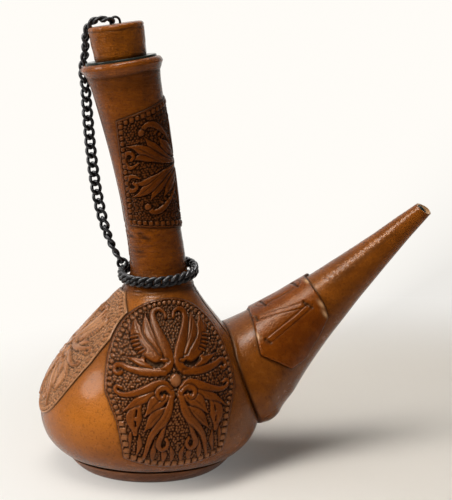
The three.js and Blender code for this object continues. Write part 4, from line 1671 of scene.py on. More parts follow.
@dataclass
class NeckSleeve:
    """Leather sleeve of the neck, turned over the flared lip."""

    step: float = 0.45
    step_run: float = 7
    foot_drop: float = 0.9
    fold: float = 4.2
    fold_rise: float = 0.3
    fold_cut: Point = (0.8, 0.2)
    fold_shade: Point = (1.1, 0.4)
    seam_run: float = 0.5
    seam_depth: float = 0.5
    seam_stain: float = 0.8
    wrinkled_from: Point = (126, 138)
    wrinkled_to: Point = (152, 160)
    wrinkle_depth: float = 0.24
    wrinkle_shade: float = 0.8
    foot_stain: Point = (1.0, 0.55)
    collar_shadow: Point = (4.5, 0.3)
    lip_shadow: Point = (4, 0.2)
    upper: Point = (190, 215)
    upper_stain: float = 0.14
    worn_lip: Point = (1.8, 0.8)
    panel_edge_shade: Point = (0.8, 0.8)
    columns: int = 128
    rows: int = 260

    def build(self) -> None:
        """Make the sleeve."""
        v = VESSEL
        line = spaced(v.outline[v.outline[:, 1] >= v.sleeve_z - 1], self.rows)
        theta, h = around(self.columns), line[:, 1:]
        foot = h - v.sleeve_z
        r = line[:, :1] + self.step * fall(foot, 0, self.step_run)
        r = r - self.foot_drop * fall(foot, -0.6, 0.7)
        low = smooth(h, *self.wrinkled_from) * fall(h, *self.wrinkled_to)
        low = low * (0.25 + 0.75 * fall(np.cos(theta), -0.5, 0.3))
        wrinkle = waviness(theta * 4.5, h, 2.7, 15) * 0.6 + waviness(theta * 3, h, 5, 16) * 0.4
        r = r + self.wrinkle_depth * wrinkle * low + 0.1 * waviness(theta * 18, h, 24, 17)
        seam = bell((theta + math.pi) * r, self.seam_run) + bell((math.pi - theta) * r, self.seam_run)
        r = r - self.seam_depth * seam * (h < v.edge_h - 1)
        over = h - v.lip_h + self.fold - 0.5 * waviness(theta * 20, 0 * h, 30, 18)
        r = r + self.fold_rise * smooth(over, -0.4, 2.2) * fall(h, v.lip_h, v.edge_h)
        r = r - bell(over + 0.7, *self.fold_cut)
        points = v.on_spine(r * np.cos(theta), r * np.sin(theta), h + 0 * theta)
        # Painted shade in the wrinkles' troughs and in the lip fold's crease; the seam's and the foot's dark
        # lines are real.
        stain = self.seam_stain * seam + self.wrinkle_shade * np.clip(-wrinkle, 0, 1) * low
        stain = stain + bell(foot, *self.foot_stain) + bell(over + 0.6, *self.fold_shade)
        # A painted shadow under the collar, and a painted shadow under the lip.
        stain = stain + bell(foot - 6, *self.collar_shadow) + bell(h - v.lip_h + 10, *self.lip_shadow)
        stain = stain + self.upper_stain * smooth(h, *self.upper) * fall(over, -1, 1)
        stain = np.maximum(stain, self.beside_panel(theta, h))
        worn = bell(h - v.lip_h - 1.2, *self.worn_lip) + 0 * theta
        sheet = Patch(points, {"stain": np.clip(stain, 0, 1), "wear": worn}, ring=True)
        fit_piece("sleeve", [sheet], Finish.NECK, Body.VESSEL, ["neck_sleeve"])

    def beside_panel(self, theta: Array, h: Array) -> Array:
        """Painted shade along the neck panel's cut edges.

        Args:
            theta: Angles of the sleeve's points.
            h: Their heights along the spine.

        Returns:
            How dark the painted shade is at each point.
        """
        p = NECK_TOOLING
        arc = np.abs(theta) * VESSEL.radius(h)
        peak = p.peak * (1 - np.clip(arc / p.half_width, 0, 1))
        rise = h - VESSEL.neck_z
        over = np.maximum(rise - (p.high + peak), (p.low - peak) - rise)
        past = np.maximum(over, arc - p.half_width)
        return bell(np.maximum(past, 0), *self.panel_edge_shade)


@dataclass
class SpoutCover:
    """Leather cone of the spout, from its joint on the belly to the cut edge at the tip."""

    leather: float = 1.8
    inside: float = 7
    slant_up: float = 2.0
    slant_front: float = 2.3
    tucked_in: float = 1.6
    root_roll: float = 0.5
    joint_before: float = 150
    crowding: float = 1.15
    unevenness: float = 0.14
    grain: float = 0.1
    grain_from: Point = (120, 165)
    seam_run: float = 0.55
    seam_depth: float = 0.6
    seam_stain: float = 0.8
    root_shade: float = 0.9
    streak_turn: float = 1.0
    streak_run: float = 0.16
    streak_stain: float = 0.4
    streak_from: Point = (148, 165)
    streak_to: Point = (205, 225)
    rubbed_back: Point = (80, 35)
    strap_shadow: Point = (1.1, 0.95)
    rows: int = 400
    columns: int = 144
    glass_start: float = 98
    glass_back: float = 0.9

    def joint(self, psi: Array) -> Array:
        """Distance along the spout where it leaves the belly, for each angle round it.

        Args:
            psi: Angles round the spout.

        Returns:
            Distances along the spout's axis.
        """
        s = np.linspace(SPOUT.root_start, self.joint_before, 900)
        points = SPOUT.place(psi[None, :], s[:, None], 0.0)
        x, y, z = np.moveaxis(points, -1, 0)
        belly = VESSEL.radius(np.maximum(z, VESSEL.seam_z))
        buried = np.hypot(x - VESSEL.spine(z)[0], y) < belly
        last = buried.shape[0] - 1 - np.argmax(buried[::-1], axis=0)
        return np.where(buried.any(axis=0), s[last], SPOUT.root_start)

    def tip(self, psi: Array) -> Array:
        """Distance along the spout of its slanting cut end."""
        return SPOUT.tip_s - self.slant_up * np.cos(psi) - self.slant_front * np.sin(psi)

    def build(self, strap: "SpoutStrap") -> None:
        """Make the cone, its rolled root and its cut tip.

        Args:
            strap: The band that lies on it.
        """
        psi = around(self.columns)
        start = self.joint(psi[0])
        start = (np.roll(start, 1) + 2 * start + np.roll(start, -1))[None, :] / 4 - self.tucked_in
        s = start + (self.tip(psi) - start) * np.linspace(0, 1, self.rows)[:, None] ** self.crowding
        turn = np.broadcast_to(psi, s.shape)
        root = s - start - self.tucked_in
        above = smooth(np.cos(psi - 0.5), 0.2, 0.95) * smooth(s, *self.grain_from)
        under = bell((np.abs(psi) - math.pi) * SPOUT.radius(s), self.seam_run)
        out = self.unevenness * waviness(psi * 14, s, 30, 21)
        out = out + self.grain * waviness(psi * 3, s, 2.0, 22) * above - self.seam_depth * under
        out = out + self.root_roll * (bell(root - 1.2, 1.6) - 1 + smooth(root, -1.2, 0.6))
        streak = bell(psi - self.streak_turn - 0.1 * waviness(s, 0 * s, 40, 23), self.streak_run)
        streak = streak * smooth(s, *self.streak_from) * fall(s, *self.streak_to)
        # Painted shade at the root's joint with the belly and a painted shadow beside the band; the
        # underside seam and the streak are real.
        stain = self.root_shade * fall(root, 0.2, 2.4) + self.seam_stain * under
        stain = stain + self.streak_stain * streak
        stain = np.maximum(stain, bell(strap.from_edge(s, turn), *self.strap_shadow))
        tip, (far, near) = SPOUT.tip_s, self.rubbed_back
        rim, rim_raw, bore_shade = self.cut_edge(psi)
        values = {
            "stain": np.vstack([np.clip(stain, 0, 1), bore_shade]),
            "raw": np.vstack([0.7 * smooth(s, tip - 0.6, tip), rim_raw]),
            "wear": np.vstack([0.3 * smooth(s, tip - 14, tip), 0 * rim_raw]),
            "rubbed": np.vstack([smooth(s, tip - far, tip - near), 0 * rim_raw]),
        }
        sheet = Patch(np.vstack([SPOUT.place(turn, s, out), rim]), values, ring=True)
        fit_piece("spout_skin", [sheet], Finish.LEATHER, Body.VESSEL, ["spout_cover"])
        self.build_glass()

    def cut_edge(self, psi: Array) -> tuple[Array, Array, Array]:
        """Rings over the cut edge at the tip and into the bore.

        Args:
            psi: Angles round the spout, in one row.

        Returns:
            Points of the rings, how raw the leather is there, and the painted shade that darkens the bore.
        """
        rows = (
            (0.0, 0.12, 1.0, 0.0),
            (-0.45, 0.35, 1.0, 0.0),
            (-self.leather + 0.4, 0.35, 1.0, 0.0),
            (-self.leather, 0.1, 0.8, 0.3),
            (-self.leather, -self.inside, 0.0, 1.0),
        )
        inward, ahead, raw, stain = (np.array(column)[:, None] for column in zip(*rows))
        r = SPOUT.tip_r + inward
        rings = SPOUT.on_axis(r * np.cos(psi), -r * np.sin(psi), self.tip(psi) + ahead)
        return rings, raw + 0 * psi, stain + 0 * psi

    def build_glass(self) -> None:
        """Make the glass tube inside the cone."""
        psi = around(self.columns)
        end = SPOUT.tip_s - self.glass_back
        outside = [(SPOUT.radius(s) - 2.1, s) for s in np.linspace(self.glass_start, end, 40)]
        rounded = [(SPOUT.radius(end) - 2.6, end + 0.35), (SPOUT.radius(end) - 3.3, end + 0.2)]
        inside = [(SPOUT.radius(s) - 3.7, s) for s in np.linspace(end - 0.4, self.glass_start, 40)]
        line = np.array([*outside, *rounded, *inside])
        r, s = line[:, :1], line[:, 1:] + 0 * psi
        points = SPOUT.place(psi, s, r - SPOUT.radius(s))
        tube = Patch(points, {}, ring=True, tube=True)
        fit_piece("spout_glass", [tube], Finish.GLASS, Body.VESSEL, ["glass_spout"])


@dataclass
class SpoutStrap:
    """Band over the spout with its lacing."""

    thickness: float = 1.4
    gap: float = 0.25
    back: tuple[Point, ...] = (
        (0, 107.5), (25.5, 103.6), (43.5, 98.9), (67.5, 91.4), (87.5, 96.6), (108, 101), (118, 112),
    )
    front: tuple[Point, ...] = (
        (0, 148.5), (56.5, 145.2), (85, 143), (100.5, 140.2), (112, 128), (118, 112),
    )
    flat_r: float = 22
    rear_shift: float = 6
    rear_turn: float = math.radians(30)
    laces: tuple[tuple[Point, Point, float], ...] = (
        ((116, 2.4), (139.6, 1.8), 8),
        ((105.5, 13.6), (134.6, 20.6), 3.4),
        ((136, 22.6), (100.6, 31.4), 3.3),
    )
    lace_rise: float = 0.25
    lace_dip: float = 1.4
    lace_dip_run: float = 1.8
    lace_shape: tuple[int, int] = (48, 13)
    lace_wear: Point = (0.2, 0.3)
    slit_cut: Point = (0.55, 0.8)
    slit_shade: Point = (0.8, 1.0)
    side_cut: Point = (0.4, 0.3)
    side_shade: Point = (0.4, 0.6)
    edge_darkening: Point = (0.6, 0.8)
    edge_wear: Point = (0.8, 0.5)
    edge_round: float = 0.55
    unevenness: float = 0.12
    sunk_edge: float = -0.3
    scuffs: tuple[Point, ...] = ((18.5, 146.4), (72, 142.4), (90.5, 140.2), (48.5, 97.8))
    scuff_size: Point = (1.1, 2.6)
    rows: int = 170
    columns: int = 70

    def edge(self, outline: tuple[Point, ...], psi: Array) -> Array:
        """Distance along the spout, at each angle round it, of an edge given by degrees and distance."""
        turns, places = zip(*outline)
        return np.interp(np.degrees(np.abs(psi)), turns, places) + self.askew(psi)

    def askew(self, psi: Array) -> Array:
        """How far the band lies further along the spout on the rear side."""
        return self.rear_shift * fall(psi, -self.rear_turn, 0)

    def from_edge(self, s: Array, psi: Array) -> Array:
        """Distance of points on the spout from the band's edge, on either side of it.

        Args:
            s: Distances along the spout.
            psi: Angles round the spout.

        Returns:
            The distances.
        """
        outline = (*self.back, *self.front[::-1])
        corners = np.array([(place, math.radians(turn) * self.flat_r) for turn, place in outline])
        return nearest(s - self.askew(psi), np.abs(psi) * self.flat_r, corners)[0]

    def from_laces(self, s: Array, psi: Array) -> tuple[Array, Array]:
        """How far points on the band lie from the laces' sides and from their slits.

        Args:
            s: Distances along the spout.
            psi: Angles round the spout.

        Returns:
            Distances from the nearest side, and from the nearest slit.
        """
        arc = psi * SPOUT.radius(s)
        side, slit = np.full(s.shape, FAR_OFF), np.full(s.shape, FAR_OFF)
        for start, end, width in self.laces:
            middle = nearest(s, arc, np.array([start, end], float))[0]
            side = np.minimum(side, np.abs(middle - width / 2))
            along = np.subtract(end, start)
            across = np.array([-along[1], along[0]]) / np.hypot(*along) * width * 0.6
            for at in (start, end):
                slit = np.minimum(slit, nearest(s, arc, np.stack([at - across, at + across]))[0])
        return side, slit

    def scuffed(self, s: Array, psi: Array) -> Array:
        """Worn pale spots along the band's edges.

      Args:
          s: Distances along the spout.
          psi: Angles round the spout.

      Returns:
          How worn each point is.
      """
        along, across = self.scuff_size
        return sum(
            bell(s - at, along) * bell((psi - math.radians(turn)) * SPOUT.radius(s), across)
            for turn, at in self.scuffs
        )

    def build(self) -> None:
        """Make the band and its three laces."""
        lowest = math.radians(self.back[-1][0])
        psi = np.linspace(-lowest, lowest, self.rows)[:, None]
        u = np.linspace(0, 1, self.columns)[None, :]
        low, high = self.edge(self.back, psi), self.edge(self.front, psi)
        s = low + (high - low) * u
        turn = np.broadcast_to(psi, s.shape)
        inside = self.from_edge(s, turn)
        side, slit = self.from_laces(s, turn)
        out = self.gap + self.thickness - self.edge_round * fall(inside, 0, 0.9) ** 2
        out = out + self.unevenness * waviness(s, turn * self.flat_r, 22, 31)
        out = out - bell(slit, *self.slit_cut) - bell(side, *self.side_cut)
        raw = np.clip(self.scuffed(s, turn), 0, 1)
        ahead = smooth(s - (low + high) / 2, 0, 8)
        # Painted shade in the slits, along the laces' sides and along the band's front edge; the sunk edge
        # ring gets painted shade too.
        stain = np.maximum(bell(slit, *self.slit_shade), bell(side, *self.side_shade))
        stain = np.maximum(stain, bell(inside, *self.edge_darkening) * ahead * (1 - raw))
        values = {
            "stain": np.pad(stain, 1, constant_values=0.9),
            "wear": np.pad(bell(inside, *self.edge_wear), 1),
            "raw": np.pad(raw, 1),
        }
        turn, s = np.pad(turn, 1, mode="edge"), np.pad(s, 1, mode="edge")
        points = SPOUT.place(turn, s, np.pad(out, 1, constant_values=self.sunk_edge))
        sheet = Patch(points[:, ::-1], {key: grid[:, ::-1] for key, grid in values.items()})
        fit_piece("strap", [sheet], Finish.STRAP, Body.VESSEL, ["spout_band"])
        for number, (start, end, width) in enumerate(self.laces, 1):
            self.build_lace(number, start, end, width)

    def build_lace(self, number: int, start: Point, end: Point, width: float) -> None:
        """Make one flat lace that dips into its two slits.

        Args:
            number: Number in the lace's name.
            start: First end, as distance along the spout and arc.
            end: Last end.
            width: The lace's width.
        """
        rows, columns = self.lace_shape
        t = np.linspace(0, 1, rows)[:, None]
        v = np.linspace(-1, 1, columns)[None, :]
        along = np.subtract(end, start)
        length = math.hypot(*along)
        across = np.array([-along[1], along[0]]) / length
        wide = v * width / 2 * (1 - 0.12 * np.cos(3 * t))
        s = start[0] + along[0] * t + across[0] * wide
        arc = start[1] + along[1] * t + across[1] * wide
        dip = self.lace_dip * sum(fall(far * length, 0, self.lace_dip_run) for far in (t, 1 - t))
        out = self.gap + self.thickness + self.lace_rise - 0.4 * np.abs(v) ** 4 - dip
        out = out + 0.1 * waviness(t * 40 + 0 * v, v * 5 + 0 * t, 14, 40 + number)
        points = SPOUT.place(arc / SPOUT.radius(s), s, out)
        # Painted shade along the lace's sides and where it dips into its slits.
        stain = 0.6 * smooth(np.abs(v) + 0 * t, 0.8, 1) + 0.8 * smooth(dip + 0 * v, 0.3, 1.2)
        worn = bell(np.abs(v) - 0.5, *self.lace_wear) + 0 * t
        sheet = Patch(points[:, ::-1], {"stain": np.clip(stain, 0, 1), "wear": worn})
        fit_piece(f"lace_{number}", [sheet], Finish.STRAP, Body.VESSEL, [f"spout_thong_{number}"])


@dataclass
class Stopper:
    """Cork stopper in its leather wrap, with a wire eye, and the glass rim round it."""

    rise: float = 25.3
    rim_r: float = 15.9
    top_r: float = 16.9
    rounding: float = 2.6
    sunk: float = 6
    cork_sunk: float = 29
    bore_r: float = 16
    bore_foot_r: float = 14
    bead_r: float = 0.7
    rim_drop: float = 1.4
    bore_spare: float = 4
    lid_r: float = 13.7
    groove_drop: float = 3.2
    groove_run: float = 0.55
    groove_depth: float = 0.3
    seam_turn: float = 2.2
    seam_run: float = 0.5
    seam_depth: float = 0.4
    edge_wear: Point = (1.4, 0.8)
    hole_dent: Point = (1.5, 0.7)
    hole_shade: Point = (1.7, 0.9)
    eye_r: float = 2.9
    eye_straight: float = 1.3
    eye_leg: float = 6
    wire: float = 1.5
    paleness: float = 0.25
    columns: int = 112

    @property
    def top_h(self) -> float:
        """Height of the stopper's top along the mouth's axis."""
        return VESSEL.lip_h + self.rise

    @property
    def rim_h(self) -> float:
        """Height of the glass rim."""
        return VESSEL.edge_h + 2 * self.bead_r

    def turned(self, line: Array, out: Array | float, on_spine: bool = False) -> Array:
        """Points of a turned outline.

        Args:
            line: Radius and height of each row.
            out: Unevenness added to the radius.
            on_spine: Whether the outline follows the neck's spine instead of the mouth's axis.

        Returns:
            Points in the part's frame.
        """
        theta = around(self.columns)
        r = line[:, :1] + out
        place = VESSEL.on_spine if on_spine else VESSEL.on_mouth
        return place(r * np.cos(theta), r * np.sin(theta), line[:, 1:] + 0 * theta)

    def build(self) -> None:
        """Make the wrap, its lid, the cork, the eye and the glass neck."""
        theta = around(self.columns)
        top, rim = self.top_h, self.rim_h
        flat_r = self.top_r - self.rounding
        side = [(self.bore_r - 1.0, rim - self.sunk), (self.bore_r - 0.5, rim), (self.rim_r, rim + 1.6)]
        corner = curve([(self.top_r, top - self.rounding), (self.top_r + 0.1, top), (flat_r, top)], 14)
        turn_in = curve([(flat_r, top), (self.lid_r + 0.2, top), (self.lid_r, top - 0.6)], 5)[1:]
        line = spaced(np.vstack([side, corner, turn_in]), 110)
        r, h = line[:, :1], line[:, 1:]
        seam = bell((theta - self.seam_turn) * self.top_r, self.seam_run)
        groove = bell(h - top + self.groove_drop + 0.5 * waviness(theta * 16, h, 14, 53), self.groove_run)
        groove = groove * smooth(waviness(theta * 16, 0 * h, 17, 54), -0.5, 0.2)
        out = 0.14 * waviness(theta * 16, h, 11, 51) + 0.1 * waviness(theta * 16, h, 5, 52)
        out = out - self.seam_depth * seam * (h < top - 0.5) - self.groove_depth * groove
        # Painted shade at the wrap's foot in the mouth, in the groove and where the wrap turns in at the
        # lid; the seam's dark line is real.
        stain = 0.7 * fall(h, rim - 0.5, rim + 2.5) + 0.7 * seam + 0.6 * groove
        stain = stain + 0.8 * fall(r, self.lid_r + 0.1, self.lid_r + 0.7)
        worn = bell(h - top + 1, *self.edge_wear) * smooth(r, 14.6, 16) + 0 * theta
        values = {"stain": np.clip(stain, 0, 1), "wear": worn, "tone": np.full(worn.shape, self.paleness)}
        sheet = Patch(self.turned(line, out), values, ring=True)
        fit_piece("stopper_leather", [sheet], Finish.NECK, Body.STOPPER, ["stopper_wrap"])
        self.build_lid()
        self.build_cork()
        self.build_eye()
        self.build_glass()

    def build_lid(self) -> None:
        """Make the disc in the stopper's top."""
        theta = around(self.columns)
        flat = np.concatenate([[0.05], np.linspace(0.6, 13.2, 40)])
        r = np.concatenate([flat, [13.6, 13.75, 13.6]])
        up = np.concatenate([np.full(flat.size, -0.15), [-0.3, -0.7, -1.3]])
        r, h = r[::-1, None], self.top_h + up[::-1, None]
        x, y = r * np.cos(theta), r * np.sin(theta)
        hole = np.minimum(np.hypot(x - self.eye_r, y), np.hypot(x + self.eye_r, y))
        dent = 0.25 * waviness(x, y, 12, 55) * fall(r, 11, 13) - bell(hole, *self.hole_dent)
        # Painted shade round the holes' dents and at the lid's edge under the wrap.
        stain = np.clip(bell(hole, *self.hole_shade) + 0.8 * smooth(r, 12.6, 13.6), 0, 1)
        sheet = Patch(VESSEL.on_mouth(x, y, h + dent), {"stain": stain}, ring=True)
        fit_piece("stopper_lid", [sheet], Finish.NECK, Body.STOPPER, ["stopper_top"])

    def build_cork(self) -> None:
        """Make the cork core."""
        theta = around(self.columns)
        foot, shelf = self.rim_h - self.cork_sunk, self.rim_h - self.sunk
        taper = self.cork_sunk / (self.cork_sunk + self.bore_spare)
        low = self.bore_r + (self.bore_foot_r - self.bore_r) * taper - 0.3
        edge = curve([(low - 1.4, foot), (low, foot), (low, foot + 1.4)], 8)
        side = spaced(np.array([edge[-1], (self.bore_r - 1.0, shelf - 0.4)]), 30)[1:]
        step, top = (self.bore_r - 2.6, shelf - 0.2), self.top_h - 1.7
        line = np.vstack([[(0.05, foot)], edge, side, [step, (14.1, top), (0.05, top)]])
        out = 0.1 * waviness(theta * 14, line[:, 1:], 4, 57) * (line[:, :1] > 2)
        sheet = Patch(self.turned(line, out), {}, ring=True)
        fit_piece("cork_core", [sheet], Finish.CORK, Body.STOPPER, ["stopper_cork"])

    def build_eye(self) -> None:
        """Make the wire eye with its legs in the cork."""
        arch = np.linspace(0, math.pi, 26)
        legs = np.linspace(-self.eye_leg, self.eye_straight - 0.2, 12)
        side = np.full(legs.size, self.eye_r)
        x = np.concatenate([side, self.eye_r * np.cos(arch), -side])
        up = np.concatenate([legs, self.eye_straight + self.eye_r * np.sin(arch), legs[::-1]])
        path = VESSEL.on_mouth(x, 0 * x, self.top_h + up)
        fit_piece("eye", [wire(path, self.wire, 14, False)], Finish.STEEL, Body.STOPPER, ["stopper_eye"])

    def build_glass(self) -> None:
        """Make the glass neck with its round rim."""
        v, rim = VESSEL, self.rim_h
        h = np.linspace(v.sleeve_z, v.lip_h, 60)
        outside = np.stack([v.radius(h) - 2.1, h], axis=1)
        edge = v.lip_edge_r - 0.3
        turn = np.linspace(0, math.pi / 2, 8)
        round_r, round_h = self.bead_r * (np.cos(turn) - 1), self.bead_r * (np.sin(turn) - 1)
        bead = np.stack([edge + round_r, rim + round_h], axis=1)
        brink = (self.bore_r, rim - self.rim_drop)
        mouth = curve([(edge - self.bead_r, rim), (self.bore_r + 0.2, rim), brink], 8)[1:]
        deep = (self.bore_foot_r, rim - self.cork_sunk - self.bore_spare)
        bore = [np.add(deep, np.subtract(brink, deep) * t) for t in (0.7, 0.35, 0.0)]
        low = np.linspace(deep[1] - 6, v.sleeve_z, 40)
        inside = np.stack([v.radius(low) - 4.5, low], axis=1)
        sheets = [
            Patch(self.turned(np.vstack([outside, bead]), 0.0, True), {}, ring=True),
            Patch(self.turned(np.vstack([bead[-1:], mouth, bore]), 0.0), {}, ring=True),
            Patch(self.turned(inside, 0.0, True), {}, ring=True),
        ]
        fit_piece("neck_glass", sheets, Finish.GLASS, Body.VESSEL, ["glass_neck"])


@dataclass
class CurbChain:
    """Twisted links over the stopper, down the neck and round its foot."""

    wire_size: float = 2.12
    collar_wire: float = 2.5
    collar_link: float = 5.05
    spacing_wire: float = 1.45
    pitch: float = 5.8
    play: float = 0.75
    width: float = 7.3
    twist: float = math.radians(48)
    collar_r: float = 23
    collar_z: float = 122.5
    collar_pitch: float = math.radians(6.1)
    collar_roll: float = math.radians(6.9)
    ring_r: float = 3.1
    ring_wire: float = 1.9
    ring_place: float = math.radians(30)
    stopper_across: float = math.radians(240)
    run_across: float = math.radians(167)
    turn_from: float = 30
    turn_to: float = 85
    last_turn: float = math.radians(85)
    last_turn_from: float = 118
    eye_hold: float = 2.6
    ring_dip: float = 0.7
    ring_play: float = 0.3
    look_ahead: float = 0.4
    link_steps: int = 40
    ring_steps: int = 44
    wire_sides: int = 12
    ring_sides: int = 14
    on_stopper: int = 8
    over_stopper: tuple[Place, ...] = (
        (23, -9.3, -3.7), (29, -4.3, -3.5), (31, 0.1, -0.8), (32, 2.9, 3.4), (33, 4.3, 8.8),
    )
    past_lip: tuple[Place, ...] = ((34, -2.4, 11.3), (36, -0.2, 5.9), (39, 2.3, 0.5), (41, 2.9, -5.1))
    down_neck: tuple[Place, ...] = (
        (0.96, 0.2, 0), (0.84, 2, 0.3), (0.61, 5, 0.8), (0.4, 6.6, 1.2), (0.21, 6.1, 1.3), (0.09, 3.7, 0.9),
    )

    def link(self, long: float, wide: float) -> Array:
        """Middle line of one twisted link about its own middle.

Args:
    long: Half its length.
    wide: Half its width.

Returns:
    Points round the link.
"""
        t = np.arange(self.link_steps) * FULL_TURN / self.link_steps
        roll = -self.twist * np.cos(t)
        across = wide * np.sin(t)
        return np.stack([long * np.cos(t), across * np.cos(roll), across * np.sin(roll)], axis=1)

    def set_at(self, line: Array, middle: Array, along: Array, across: Array) -> Array:
        """Place a link's line.

        Args:
            line: The line about the link's own middle.
            middle: Where the link goes.
            along: The chain's direction there.
            across: Roughly the way its width points.

        Returns:
            The line in the part's frame.
        """
        x = unit(along)
        z = unit(np.cross(x, across))
        return middle + line @ np.stack([x, np.cross(z, x), z])

    @cached_property
    def collar_turn(self) -> Matrix:
        """Tilt and place of the collar.

        Returns:
            The move from a level collar at the origin.
        """
        x = float(VESSEL.spine(self.collar_z)[0])
        tilt = Matrix.Rotation(self.collar_roll, 4, "X") @ Matrix.Rotation(-self.collar_pitch, 4, "Y")
        return Matrix.Translation((x, 0, self.collar_z)) @ tilt

    def collared(self, points: Array) -> Array:
        """Points of the level collar, tilted into place."""
        turn = np.array(self.collar_turn)
        return points @ turn[:3, :3].T + turn[:3, 3]

    def ring_frame(self) -> tuple[Array, Array, Array]:
        """Place of the junction ring.

Returns:
    Its middle, and the ways out and up from there.
"""
        angle = math.pi - self.ring_place
        strand = (self.width - self.spacing_wire) / 2
        over = strand + self.ring_r - self.ring_dip - self.spacing_wire / 2 - self.ring_play
        out = np.array([math.cos(angle), math.sin(angle), 0.0])
        middle = self.collared((out * self.collar_r + np.array([0, 0, over]))[None])[0]
        turn = np.array(self.collar_turn)[:3, :3]
        return middle, turn @ out, turn @ np.array([0.0, 0.0, 1.0])

    def round_mouth(self, angle: float, radius: float, h: float) -> Array:
        """A point round the mouth's axis, by degrees from the back."""
        turn = math.radians(angle)
        return VESSEL.on_mouth(-radius * math.cos(turn), radius * math.sin(turn), h)

    def route(self, stopper: Stopper) -> Array:
        """Middle line of the tether from the eye to the junction ring.

        Args:
            stopper: The stopper that it starts on.

        Returns:
            Close points along the line.
        """
        middle, out, up = self.ring_frame()
        points = [self.round_mouth(0, stopper.eye_r, stopper.top_h + self.eye_hold)]
        for angle, beyond, below in self.over_stopper:
            points.append(self.round_mouth(angle, stopper.top_r + beyond, stopper.top_h - below))
        for angle, beyond, above in self.past_lip:
            points.append(self.round_mouth(angle, VESSEL.lip_r + beyond, VESSEL.lip_h + above))
        lip = points[-1]
        for share, back, rear in self.down_neck:
            points.append(middle + (lip - middle) * share + np.array([-back, rear, 0]))
        pull = points[-1] - middle
        turn = math.atan2(pull @ up, pull @ out)
        points.append(middle + self.ring_r * (out * math.cos(turn) + up * math.sin(turn)))
        return self.even_flow(np.array(points))

    def even_flow(self, points: Array) -> Array:
        """A line through unevenly spaced points without overshoot.

        Args:
            points: Points that the line passes.

        Returns:
            Close points along the line.
        """
        first, last = 2 * points[0] - points[1], 2 * points[-1] - points[-2]
        p = np.vstack([first[None], points, last[None]])
        t = np.linspace(0, 1, 60, endpoint=False)[:, None]
        rows = []
        for a, b, c, d in zip(p, p[1:], p[2:], p[3:]):
            k = [max(np.linalg.norm(v) ** 0.5, 1e-4) for v in (b - a, c - b, d - c)]
            leave = ((b - a) / k[0] - (c - a) / (k[0] + k[1]) + (c - b) / k[1]) * k[1]
            arrive = ((c - b) / k[1] - (d - b) / (k[1] + k[2]) + (d - c) / k[2]) * k[1]
            rows.append(cubic(b, c, leave, arrive, t))
        return np.vstack([*rows, points[-1:]])

    def build(self, stopper: Stopper) -> None:
        """Make the tether, the junction ring and the collar.

        Args:
            stopper: The stopper that the tether hangs on.
        """
        path = self.route(stopper)
        far = lengths(path)
        spare = self.spacing_wire + self.play
        count = round((far[-1] + spare) / self.pitch)
        pitch = (far[-1] + spare) / count
        line = self.link((pitch + spare) / 2, (self.width - self.wire_size) / 2)
        links = []
        for i in range(count):
            along = (pitch - spare) / 2 + i * pitch
            places = along + np.array([0, self.look_ahead, -self.look_ahead])
            middle, ahead, behind = np.stack([np.interp(places, far, column) for column in path.T], axis=1)
            ease = float(smooth(along, self.turn_from, self.turn_to))
            heading = self.stopper_across + (self.run_across - self.stopper_across) * ease
            heading -= self.last_turn * float(smooth(along, self.last_turn_from, far[-1]))
            across = np.array([math.cos(heading), math.sin(heading), 0.0])
            link = self.set_at(line, middle, ahead - behind, across)
            links.append(wire(link, self.wire_size, self.wire_sides, True))
        names = [f"chain_link_{i + 1:02d}" for i in range(count)]
        for name, body, run in (
            ("stopper_links", Body.STOPPER, slice(None, self.on_stopper)),
            ("tether_links", Body.TETHER, slice(self.on_stopper, None)),
        ):
            fit_piece(name, links[run], Finish.STEEL, body, names[run])
        self.build_collar()

    def build_collar(self) -> None:
        """Make the collar and the junction ring."""
        count = round(FULL_TURN * self.collar_r / self.collar_link)
        line = self.link((self.collar_link + self.collar_wire) / 2, (self.width - self.collar_wire) / 2)
        links = []
        for i in range(count):
            angle = math.pi - self.ring_place + FULL_TURN * i / count
            out = np.array([math.cos(angle), math.sin(angle), 0.0])
            along = np.array([-math.sin(angle), math.cos(angle), 0.0])
            level = self.set_at(line, out * self.collar_r, along, np.array([0.0, 0.0, 1.0]))
            links.append(wire(self.collared(level), self.collar_wire, self.wire_sides, True))
        fit_piece("collar", links, Finish.STEEL, Body.COLLAR, ["neck_chain"])
        middle, out, up = self.ring_frame()
        t = np.arange(self.ring_steps)[:, None] * FULL_TURN / self.ring_steps
        path = middle + self.ring_r * (np.cos(t) * out + np.sin(t) * up)
        ring = wire(path, self.ring_wire, self.ring_sides, True)
        fit_piece("ring", [ring], Finish.STEEL, Body.TETHER, ["junction_ring"])


# Stage


class Rays(Enum):
    """What a lamp gives: plain light, shading without its own mirror image, or that image alone."""

    ALL = "all"
    SHADE = "shade"
    GLEAM = "gleam"


@dataclass(frozen=True)
class Lamp:
    """A soft round lamp aimed at the middle of the object, in metres and watts."""

    name: str
    place: Place
    size: float
    power: float
    rays: Rays
    colour: Colour = (1.0, 0.975, 0.94)
    target: Place = (0.03, 0, 0.13)

    def build(self) -> None:
        """Add the lamp to the scene."""
        data = bpy.data.lights.new(self.name, "AREA")
        data.shape = "DISK"
        data.size, data.energy, data.color = self.size, self.power, self.colour
        lamp = bpy.data.objects.new(self.name, data)
        lamp.location = self.place
        way = Vector(self.target) - Vector(self.place)
        lamp.rotation_euler = way.to_track_quat("-Z", "Y").to_euler()
        lamp.visible_glossy = self.rays is not Rays.SHADE
        lamp.visible_diffuse = self.rays is not Rays.GLEAM
        bpy.context.scene.collection.objects.link(lamp)


